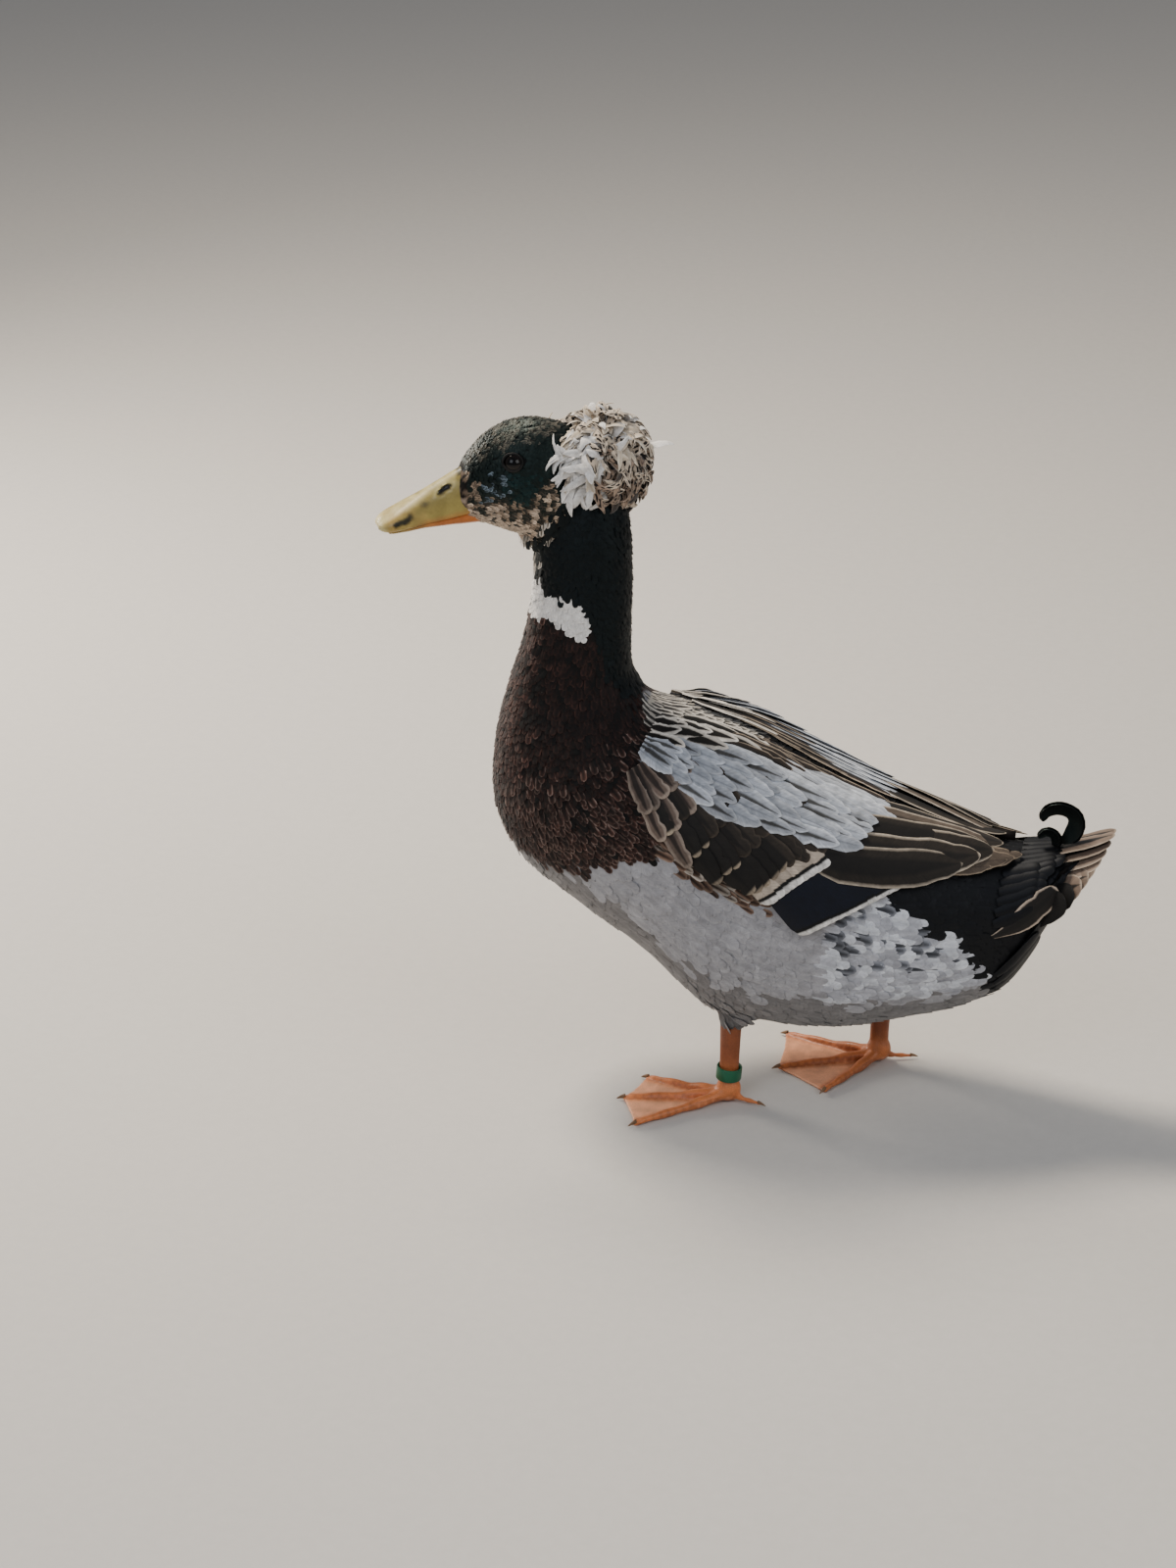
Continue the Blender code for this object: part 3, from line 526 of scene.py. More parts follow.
@dataclass(frozen=True)
class Look:
    """Colours and marks of one kind of feather.

    The colours are those of the vane, its fringe and its centre. The edge is the fringe's share of the half
    width, and stray is how much single feathers differ in tone. A streak up to one is the half width of a
    dark centre, above one it marks spots, and below zero it is the depth of a band inside the tip. grow
    holds a small feather's length, width and spacing, and tip_only keeps the fringe off the sides.
    """

    colours: str
    edge: float
    stray: float
    streak: float = 0
    grow: tuple = ()
    tip_only: bool = False


class Plumage(Enum):
    """The kinds of small feather on the head, neck and body."""

    HEAD_BLACK = Look("#090b0c #0e1213 #070909", 0.1, 0.3, 0, (4.4, 2.6, 1.4))
    HEAD_TEAL = Look("#09181a #0d2426 #071012", 0.2, 0.4, 0, (4.0, 2.4, 1.35))
    HEAD_BLUE = Look("#4b555e #78838c #14181c", 0.3, 0.4, 0.3, (3.8, 2.1, 1.3))
    CROWN = Look("#171613 #37342f #0b0b0a", 0.25, 0.35, 0.35, (4.2, 2.0, 1.35))
    CROWN_PALE = Look("#443f38 #645d53 #171513", 0.3, 0.35, 0.3, (4.2, 2.0, 1.35))
    CHEEK_TAN = Look("#7f6b5a #9a8673 #3a2f27", 0.3, 0.25, 0.25, (4.0, 2.1, 1.3))
    CHEEK_DARK = Look("#1f1916 #4a3e35 #0e0b0a", 0.25, 0.5, 0.25, (4.0, 2.1, 1.3))
    THROAT = Look("#b09b88 #c6b4a2 #6a594b", 0.3, 0.2, 0.15, (4.2, 2.3, 1.35))
    NECK = Look("#07090a #0a0d0f #050607", 0.1, 0.25, 0, (7, 3.4, 2.0))
    STREAK = Look("#a39a8d #c2bab0 #38322b", 0.3, 0.3, 0.35, (5.5, 2.4, 1.6))
    COLLAR = Look("#dcdad6 #e8e5e0 #c4c1bb", 0.3, 0.06, 0, (7, 3.6, 1.9))
    # Painted shade: a darker maroon for the breast's upper sides, away from its front edge.
    MAROON_DARK = Look("#180d0b #33201a #0d0706", 0.25, 0.5, 0.3, (7.2, 3.8, 2.3))
    MAROON = Look("#311b16 #65534b #120a09", 0.2, 0.5, 0.45, (7.2, 3.8, 2.3))
    MAROON_LOW = Look("#35201a #7a6a62 #130b09", 0.18, 0.5, 0.5, (10, 4.2, 2.5))
    FLANK = Look("#97979b #9c9ca0 #8b8b8f", 0.35, 0.06, 0, (16, 7, 3.6))
    FLANK_REAR = Look("#a4a6ad #adafb6 #93959c", 0.35, 0.08, 0, (15, 6, 3.3))
    FLANK_PALE = Look("#c2c6cd #ced1d6 #a9acb4", 0.35, 0.06, 0, (15, 6, 3.3))
    FLANK_DARK = Look("#62656c #868990 #2c2e33", 0.3, 0.25, 0.35, (15, 6, 3.3))
    # Painted shade: the belly's grey is darker than the flank's, for the shade under the body.
    BELLY = Look("#747272 #7a7878 #676565", 0.35, 0.08, 0, (14, 7, 3.8))
    # Painted shade: the thighs are darker still, deep under the body.
    THIGH = Look("#5d5b5a #646261 #514f4e", 0.35, 0.1, 0, (6.5, 3.6, 2.1))
    SIDE_TAN = Look("#5a463b #7d695b #1b1310", 0.3, 0.4, 0.35, (15, 4.6, 2.8))
    SIDE_WHITE = Look("#9d9389 #bdb5ab #2b2019", 0.3, 0.25, 0.4, (15, 4.4, 2.8))
    MANTLE = Look("#cbc3b7 #ddd6cb #120f0c", 0.25, 0.12, 0.62, (13, 5.5, 3.4))
    MANTLE_DARK = Look("#211a15 #998978 #0f0c0a", 0.18, 0.25, 0.45, (13, 6.5, 3.6))
    RUMP = Look("#070708 #0b0c0d #050506", 0.1, 0.25, 0, (14, 6, 3.2))
    UNDERTAIL = Look("#08080a #0d0e10 #060607", 0.1, 0.25, 0, (14, 6, 3.3))

    @property
    def number(self) -> int:
        """Its place in the list of kinds."""
        return list(Plumage).index(self)


class Quill(Enum):
    """The kinds of large feather of the wings, tail and crest."""

    PRIMARY = Look("#51463c #9c8b76 #241e1a", 0.12, 0.1)
    SECONDARY = Look("#040a19 #dcdad6 #030406", 0.46, 0.06, -0.36, tip_only=True)
    TERTIAL = Look("#221d18 #c2b4a1 #110e0c", 0.09, 0.08, 0.5)
    TERTIAL_PALE = Look("#574c42 #c4b6a4 #302923", 0.1, 0.08, 0.35)
    GREATER = Look("#aa9d8e #dddad5 #080706", 0.72, 0.12, -0.42, tip_only=True)
    GREATER_REAR = Look("#1a1613 #b9b0a4 #0d0b0a", 0.09, 0.1, 0, tip_only=True)
    COVERT_DARK = Look("#2a241e #3d352d #171310", 0.2, 0.25, 0.4)
    COVERT_SPOTTED = Look("#14110e #8f8271 #0b0908", 0.3, 0.25, 0.3, tip_only=True)
    COVERT_TAN = Look("#5f5148 #8d7f73 #2a221e", 0.35, 0.4, 0.4)
    SCAPULAR = Look("#a6abb3 #bcc0c6 #82878f", 0.35, 0.14, 0.15)
    SCAPULAR_STREAKED = Look("#9a9ea5 #b5b9be #3f3f3e", 0.3, 0.16, 0.34)
    SCAPULAR_MANTLE = Look("#c9c1b6 #ddd6cb #120f0c", 0.26, 0.1, 0.62)
    SCAPULAR_BROWN = Look("#241c17 #a39482 #0f0c0a", 0.14, 0.2, 0.4)
    RECTRIX = Look("#7a685a #ad9c8a #1c1714", 0.1, 0.15, 0.42)
    RECTRIX_DARK = Look("#0d0b0a #090807 #080706", 0.2, 0.1)
    RECTRIX_OUTER = Look("#15110f #bba997 #0b0908", 0.16, 0.05, 0.35)
    TAIL_COVERT = Look("#070708 #0c0d0e #050506", 0.08, 0.2)
    CURL = Look("#060607 #0a0b0c #040404", 0.1, 0.05)
    CREST_CREAM = Look("#c9bba6 #ddd2c1 #a8957d", 0.25, 0.12)
    CREST_WHITE = Look("#dedbd6 #ebe8e3 #cbc7c0", 0.2, 0.05)
    CREST_SPOTTED = Look("#c9b8a3 #d9ccba #120d0a", 0.15, 0.12, 3.5)
    # Painted shade: darker copies of the crest's feathers for its lower part.
    CREST_BROWN = Look("#9a8370 #b09a86 #120d0a", 0.15, 0.2, 3.3)
    CREST_GREY = Look("#3f3732 #6e645c #14100e", 0.2, 0.25, 3.4)


def by_rules(base: Plumage, *rules: tuple[Array, Plumage]) -> Array:
    """Sorts places into kinds, where each rule covers the ones before it.

    Args:
        base: The kind where no rule holds.
        *rules: A test of the places and the kind where it holds.

    Returns:
        Numbers in the list of kinds.
    """
    kind = np.full(len(rules[0][0]), base.number)
    for where, what in rules:
        kind[where] = what.number
    return kind


@dataclass(frozen=True)
class Markings:
    """Where each kind of small feather grows on the trunk and the head."""

    rump_edge: tuple = (
        (0, 50, 58, 68, 80, 90, 109, 136, 180),
        (4.6, 4.8, 4.75, 4.25, 3.5, 3.0, 2.6, 2.4, 2.3),
    )
    breast_edge: tuple = (
        (0, 6, 24, 45, 61, 66, 76, 86, 92, 103, 113, 120, 128, 144, 180),
        (11.0, 10.8, 9.6, 9.2, 9.0, 8.5, 8.1, 8.12, 8.6, 8.95, 9.1, 9.35, 9.7, 10.2, 10.6),
    )
    collar_low: tuple = (
        (60, 69, 78, 94, 114, 130, 150, 180),
        (14.4, 14.3, 13.95, 14.22, 14.45, 14.42, 14.4, 14.35),
    )
    collar_top: tuple = ((60, 69, 84, 102, 127, 140, 180), (14.4, 14.4, 14.68, 14.83, 14.9, 15.1, 15.25))
    collar_side: float = 68
    throat: float = 15.9
    dark_nape: tuple = ((0, 20, 45, 70), (11.3, 11.8, 13.2, 14.4))
    inner_breast: tuple = ((0, 45, 70, 95, 110, 125, 180), (11.0, 9.6, 9.4, 10.4, 11.6, 15, 15))
    crown: tuple = ((15, 24, 38, 54, 69), (414, 412, 411, 405, 394))
    cheek: tuple = (
        (12, 17, 21, 28, 34, 36, 45, 52, 63, 70),
        (362, 372, 384, 388, 377, 373, 375, 380, 374, 384),
    )
    jaw: tuple = ((14, 30, 44, 56, 65, 75), (352, 355.5, 360.5, 365, 368.5, 369))
    teal_a: tuple = (28, 52)
    mantle_rear: float = 6.9
    side_strip: tuple = (60, 83)
    overlap: float = 0.55
    blotch: tuple = (6.0, 4.2)
    head_level: float = 346

    def patches(self, spots: Array) -> Array:
        """A smooth random field at places, mostly within half of zero and finer on the head."""
        sizes = np.where(spots[:, 2] > self.head_level, self.blotch[1], self.blotch[0])
        return np.array([noise.noise(Vector(spot)) for spot in spots / sizes[:, None]])

    def on_trunk(self, t: Array, phi: Array, draw: Numbers | None, patch: Array) -> Array:
        """The kind of feather at places of the trunk.

        Args:
            t: Station.
            phi: Radians from the back.
            draw: Random numbers for ragged borders, if they are wanted.
            patch: A smooth random field there.

        Returns:
            Numbers in the list of kinds.
        """
        angle = np.abs(np.degrees(phi))
        ragged = draw.normal(0, 1, len(t)) if draw else np.zeros(len(t))
        rough = t + ragged * 0.06 + patch * 0.3
        rear = (t < 5.3) & (angle < 118)
        upper, lower = self.side_strip
        strip = (rough > 6.2) & (rough < 8.9) & (angle > upper) & (angle + patch * 8 < lower)
        rump = rough < np.interp(angle, *self.rump_edge)
        breast = rough > np.interp(angle, *self.breast_edge)
        inner = rough + patch * 2.2 > np.interp(angle, *self.inner_breast)
        low = np.interp(angle, *self.collar_low) + ragged * 0.03
        top = np.interp(angle, *self.collar_top) + ragged * 0.03
        nape = np.where(angle < 70, np.interp(angle, *self.dark_nape) + ragged * 0.1, low)
        return by_rules(
            Plumage.FLANK,
            # The underside takes the darker belly grey as painted shade.
            (angle + patch * 16 > 120, Plumage.BELLY),
            (rear, Plumage.FLANK_REAR),
            (rear & (patch > 0.14), Plumage.FLANK_PALE),
            (rear & (patch < -0.2) & (angle < 100), Plumage.FLANK_DARK),
            ((t < 10.4) & (angle < 30), Plumage.MANTLE),
            ((t < self.mantle_rear) & (angle < 40), Plumage.MANTLE_DARK),
            (strip, Plumage.SIDE_TAN),
            (strip & (patch > 0.05), Plumage.SIDE_WHITE),
            (rump, Plumage.RUMP),
            (rump & (angle > 105), Plumage.UNDERTAIL),
            (breast, Plumage.MAROON),
            (breast & (rough < 11.2), Plumage.MAROON_LOW),
            # The breast's upper sides take the darker maroon as painted shade.
            (breast & inner & (angle < 124), Plumage.MAROON_DARK),
            (t > nape, Plumage.NECK),
            ((t > top) & (patch * 30 + angle > 150), Plumage.STREAK),
            ((t > top) & (patch < -0.08), Plumage.NECK),
            ((t > self.throat) & (patch * 40 + angle > 122), Plumage.STREAK),
            ((t > low) & (t < top) & (angle > self.collar_side), Plumage.COLLAR),
        )

    def on_head(self, a: Array, z: Array, draw: Numbers | None, patch: Array) -> Array:
        """The kind of feather at places of the head.

        Args:
            a: Millimetres forward of the neck's axis.
            z: Height above the floor.
            draw: Random numbers for ragged borders, if they are wanted.
            patch: A smooth random field there.

        Returns:
            Numbers in the list of kinds.
        """
        ragged = (draw.normal(0, 0.9, len(a)) if draw else np.zeros(len(a))) + patch * 5
        level = z + ragged
        teal = (a > self.teal_a[0]) & (a < self.teal_a[1]) & (level < 393)
        crown = (level > np.interp(a, *self.crown)) & (a > 8)
        cheek = (level < np.interp(a, *self.cheek)) & (a > 10)
        return by_rules(
            Plumage.HEAD_BLACK,
            (teal & (patch > -0.25), Plumage.HEAD_TEAL),
            ((a > 47) & (z < 393) & (patch > 0.1), Plumage.HEAD_BLUE),
            (crown & (patch > -0.18), Plumage.CROWN),
            (crown & (patch > 0.08), Plumage.CROWN_PALE),
            ((a > 62) & (z > 375) & (z < 392) & (patch > 0.1), Plumage.CHEEK_TAN),
            (cheek, Plumage.CHEEK_TAN),
            (cheek & (patch < 0), Plumage.CHEEK_DARK),
            (cheek & (patch > 0.24), Plumage.THROAT),
            ((level < np.interp(a, *self.jaw)) & (a > 18) & (patch > -0.28), Plumage.THROAT),
        )


def kind_tables(kinds: type[Enum]) -> dict[str, Array]:
    """Lays the looks of an enumeration out as arrays.

    Args:
        kinds: Plumage or Quill.

    Returns:
        Arrays by name, with one row for each kind.
    """
    looks = [kind.value for kind in kinds]
    shades = np.array([rgb(*look.colours.split()) for look in looks])
    tables = {part: shades[:, number] for number, part in enumerate(COLOURS)}
    tables["marks"] = np.array([(look.edge, look.streak, 4.0 if look.tip_only else 0.0) for look in looks])
    return tables | {"stray": np.array([look.stray for look in looks])}


# Finishes.


@dataclass(frozen=True)
class Finish:
    """A surface, whose material is built once."""

    name: str

    def inputs(self, add: Callable) -> dict:
        """The shader's inputs by name, made with nodes or as plain values."""
        raise NotImplementedError

    def make(self) -> bpy.types.Material:
        """Finds the material, or builds it."""
        material = bpy.data.materials.get(self.name)
        if not material:
            material = bpy.data.materials.new(self.name)
            material.use_nodes = True
            shader = material.node_tree.nodes["Principled BSDF"]
            for name, value in self.inputs(partial(add_node, material.node_tree)).items():
                feed(shader, name, value)
        return material

    def put_on(self, piece: Piece, tint: Array | None = None) -> Piece:
        """Gives a piece this surface alone, with one colour or one for each point."""
        if tint is not None:
            set_colours(piece.data, "tint", np.broadcast_to(tint, (len(piece.data.vertices), 3)))
        piece.data.materials.clear()
        piece.data.materials.append(self.make())
        return piece


@dataclass(frozen=True)
class FeatherFinish(Finish):
    """A feather's vane: keratin barbs beside a shaft, seen as fine slanting lines with a soft gloss.

    The barb spacing, the depth of its ragged marks and the size of its clouding are in millimetres.
    soft is how far the edge of a mark fades, in half widths, and worn how much of the fringe is rubbed off.
    """

    roughness: float = 0.6
    sheen: float = 0.0
    specular: float = 0.4
    tint: str = "#ffffff"
    relief: float = 0.35
    contrast: float = 0.22
    shaft: float = 0.35
    barb_spacing: float = 1.1
    cloud: float = 0.12
    cloud_size: float = 5.0
    soft: float = 0.07
    worn: float = 0.0
    ragged: float = 1.0

    def inputs(self, add: Callable) -> dict:
        """The shader's inputs, from the vane map and the colours kept on the mesh.

        Args:
            add: Adds a node to the material.

        Returns:
            Nodes and values by the input's name.
        """
        calc, ramp = partial(add, MATH), partial(add, RANGE, None)
        place = add(SPLIT, None, add("ShaderNodeUVMap", {"uv_map": "Vane"}))
        read = {n: add("ShaderNodeAttribute", {"attribute_name": n}) for n in ("size", "marks", *COLOURS)}
        size = add(SPLIT, None, read["size"].outputs["Vector"])
        mark = add(SPLIT, None, read["marks"].outputs["Vector"])
        along, (length, width, chance), (edge, streak, bias) = place.outputs[1], size.outputs, mark.outputs
        double = calc("MULTIPLY_ADD", place, 2.0, -1.0)
        side = calc("ABSOLUTE", double)
        # Barbs slant from the shaft towards the tip, so a constant length minus side runs along them.
        reach = calc("MULTIPLY", along, length)
        line = calc("MULTIPLY_ADD", calc("MULTIPLY", side, width), -0.45, reach)
        fine = calc("DIVIDE", line, self.barb_spacing)
        drift = calc("MULTIPLY", chance, 91.0)
        barb = add(JOIN, None, fine, calc("MULTIPLY", double, 0.8), drift)
        barbs = add(NOISE, None, {"Vector": barb, "Scale": 1.0, "Detail": 3.0})
        spot = add(JOIN, None, reach, calc("MULTIPLY", double, width), drift)
        blot = add(NOISE, None, {"Vector": spot, "Scale": 0.3, "Detail": 0.0})
        # Distance from the outline, in half widths, at the sides and at the tip.
        inward = calc("ADD", calc("SUBTRACT", 1.0, side), bias)
        tip = calc("DIVIDE", calc("SUBTRACT", length, reach), calc("MULTIPLY", width, 0.5))
        rim = calc("MINIMUM", inward, tip)
        depth = calc("MULTIPLY_ADD", barbs, self.ragged, -self.ragged / 2)
        wobble = calc("DIVIDE", depth, calc("MULTIPLY", width, 0.5))
        ragged = calc("ADD", rim, wobble)
        rubbed = ramp(blot, 0.42, 0.6, 1 - self.worn, 1.0)
        fringe = calc("MULTIPLY", ramp(calc("SUBTRACT", edge, ragged), -self.soft, self.soft), rubbed)
        # A dark centre that narrows towards the tip, spots, or a band inside the tip.
        keep = calc("SUBTRACT", 1.0, calc("POWER", along, 4.0))
        near = calc("SUBTRACT", calc("MULTIPLY", streak, keep), side)
        lance = ramp(calc("ADD", near, wobble), -self.soft, self.soft + 0.02)
        band = ramp(calc("SUBTRACT", calc("SUBTRACT", edge, streak), ragged), -0.06, 0.06)
        spots = ramp(calc("MULTIPLY_ADD", streak, 0.035, blot), 0.63, 0.67)
        stepped = add("ShaderNodeMix", None, calc("LESS_THAN", streak, 0.0), {2: lance, 3: band})
        inner = add("ShaderNodeMix", None, calc("GREATER_THAN", streak, 1.0), {2: stepped, 3: spots})
        rachis = ramp(side, 0.02, 0.07, self.shaft, 0.0)
        colour = read["tint"]
        for share, other in ((inner, "centre"), (fringe, "fringe"), (rachis, "centre")):
            mixed = add("ShaderNodeMix", {"data_type": "RGBA"}, {0: share, 6: colour, 7: read[other]})
            colour = mixed.outputs[2]
        where = add("ShaderNodeTexCoord").outputs["Object"]
        clouds = add(NOISE, None, {"Vector": where, "Scale": 1 / (self.cloud_size * MM), "Detail": 3.0})
        tone = ramp(barbs, 0.25, 0.75, 1 - self.contrast, 1 + self.contrast)
        haze = ramp(clouds, 0.3, 0.7, 1 - self.cloud, 1 + self.cloud)
        relief = {"Strength": self.relief, "Distance": 0.2 * MM, "Height": barbs}
        return {
            "Roughness": self.roughness, "Specular IOR Level": self.specular,
            "Specular Tint": linear(self.tint), "Sheen Weight": self.sheen, "Sheen Roughness": 0.5,
            "Base Color": add(VECTOR, "SCALE", colour, {"Scale": calc("MULTIPLY", tone, haze)}),
            "Normal": add("ShaderNodeBump", None, relief),
        }


@dataclass(frozen=True)
class PaintedFinish(Finish):
    """A living surface whose colours are kept on the mesh, broken up by a noise of a real size.

    The grain is the size in millimetres of its wrinkles or pores.
    """

    roughness: float
    grain: float
    relief: float
    mottle: float
    specular: float = 0.5
    coat: float = 0.0
    cells: bool = False
    blotch: float = 8.0

    def inputs(self, add: Callable) -> dict:
        """The shader's inputs, from the colour called tint.

        Args:
            add: Adds a node to the material.

        Returns:
            Nodes and values by the input's name.
        """
        ramp = partial(add, RANGE, None)
        tint = add("ShaderNodeAttribute", {"attribute_name": "tint"})
        where = add("ShaderNodeTexCoord").outputs["Object"]
        fine = {"Vector": where, "Scale": 1 / (self.grain * MM)}
        broad = add(NOISE, None, {"Vector": where, "Scale": 1 / (self.blotch * MM), "Detail": 3.0})
        if self.cells:
            grain = add("ShaderNodeTexVoronoi", {"feature": "DISTANCE_TO_EDGE"}, fine)
        else:
            grain = add(NOISE, None, {**fine, "Detail": 3.0})
        tone = ramp(broad, 0.3, 0.7, 1 - self.mottle, 1 + self.mottle)
        low, high = (0.0, 0.25) if self.cells else (0.3, 0.7)
        creases = ramp(grain, low, high, 1 - self.mottle * 0.8, 1.0)
        relief = {"Strength": self.relief, "Distance": 0.3 * MM, "Height": grain}
        return {
            "Specular IOR Level": self.specular, "Coat Weight": self.coat, "Coat Roughness": 0.15,
            "Base Color": add(VECTOR, "SCALE", tint, {"Scale": add(MATH, "MULTIPLY", tone, creases)}),
            "Roughness": ramp(broad, 0.3, 0.7, self.roughness * 0.85, self.roughness * 1.15),
            "Normal": add("ShaderNodeBump", None, relief),
        }


# Preened barbs over dark melanin: nearly black, with a blue-green gloss.
HEAD_FINISH = FeatherFinish(
    "iridescent_head_feathers", 0.5, 0.0, 0.4, "#b5d6ce", 0.3, 0.4, 0.0, 0.6, 0.28, 3.0, soft=0.3, worn=0.5
)
# The same melanin with less gloss.
NECK_FINISH = FeatherFinish(
    "black_neck_feathers", 0.55, 0.0, 0.3, "#bccfd2", 0.3, 0.35, 0.0, 0.7, 0.25, soft=0.25
)
# Loose chestnut feathers with worn pale rims.
BREAST_FINISH = FeatherFinish(
    "chestnut_breast_feathers", 0.75, 0.1, 0.2, "#ffffff", 0.3, 0.35, 0.0, 0.7, 0.35, 6.0, soft=0.35, worn=0.8
)
# Soft matt flank and belly feathers over down.
BODY_FINISH = FeatherFinish(
    "grey_flank_feathers", 0.85, 0.2, 0.2, "#ffffff", 0.25, 0.2, 0.0, 0.7, 0.16, 7.0, soft=0.3, worn=0.3
)
# Firm matt vanes of the closed wing.
WING_FINISH = FeatherFinish(
    "firm_wing_vanes", 0.65, 0.05, 0.25, "#ffffff", 0.4, 0.22, 0.25, 1.0, 0.22, 5.0, soft=0.1, worn=0.15
)
# Black-blue rump with the gloss of wet slate.
RUMP_FINISH = FeatherFinish("glossy_rump_feathers", 0.55, 0.0, 0.3, "#d5dbe6", 0.3, 0.3, 0.0, 0.8, 0.25)
TAIL_FINISH = FeatherFinish("firm_tail_vanes", 0.6, 0.05, 0.3, "#ffffff", 0.4, 0.2, 0.4, 1.1)
# Silky loose vanes without hooked barbs.
CREST_FINISH = FeatherFinish(
    "silky_crest_feathers", 0.85, 0.3, 0.2, "#ffffff", 0.35, 0.22, 0.0, 0.8, 0.15, 4.0, soft=0.3
)
CURL_FINISH = FeatherFinish("curled_tail_feathers", 0.45, 0.0, 0.45, "#b9d8d2", 0.4, 0.25, 0.1, 0.9)
# Bare pimpled skin that shows between feathers, coloured as the feathers are and darkened as painted shade
# between them.
SKIN_FINISH = PaintedFinish("feathered_skin", 0.8, 1.6, 0.2, 0.12, 0.2)
# Keratin sheath of the bill, smooth and waxy.
BILL_FINISH = PaintedFinish("waxy_bill_keratin", 0.42, 1.4, 0.12, 0.16, 0.4, 0.08)
# Scaly foot skin: small plates about a millimetre across.
FOOT_FINISH = PaintedFinish("scaly_foot_skin", 0.45, 1.3, 0.5, 0.2, 0.45, 0.05, True)
LID_FINISH = PaintedFinish("wrinkled_lid_skin", 0.7, 0.6, 0.3, 0.15, 0.3)
# The eye's wet cornea over a dark brown iris.
EYE_FINISH = PaintedFinish("wet_eye", 0.09, 0.5, 0.0, 0.25, 0.3)
# Injection-moulded polypropylene, slightly scuffed.
BAND_FINISH = PaintedFinish("moulded_polypropylene", 0.4, 0.8, 0.08, 0.08)
FLOOR_FINISH = PaintedFinish("pale_plaster_floor", 0.85, 3.0, 0.05, 0.02, 0.2)


# Vanes.


class Outline(Enum):
    """Outlines of a vane: root width, where it is full, where its tip starts to round, tip sharpness."""

    LEAF = (0.35, 0.4, 0.5, 1.35)
    ROUND = (0.5, 0.35, 0.72, 0.9)
    SHORT = (0.6, 0.5, 0.76, 0.8)
    SQUARE = (0.7, 0.4, 0.9, 0.7)
    SPOON = (0.06, 0.6, 0.76, 0.9)
    LONG = (0.45, 0.25, 0.6, 1.2)

    def half(self, f: Array) -> Array:
        """Share of the half width at fractions of the vane's length."""
        root, full, start, sharp = self.value
        rise = np.clip(f / full, 0, 1)
        body = root + (1 - root) * rise * rise * (3 - 2 * rise)
        tip = np.clip((f - start) / (1 - start), 0, 1)
        return body * np.maximum(np.sqrt(1 - tip * tip) ** sharp, 0.06)


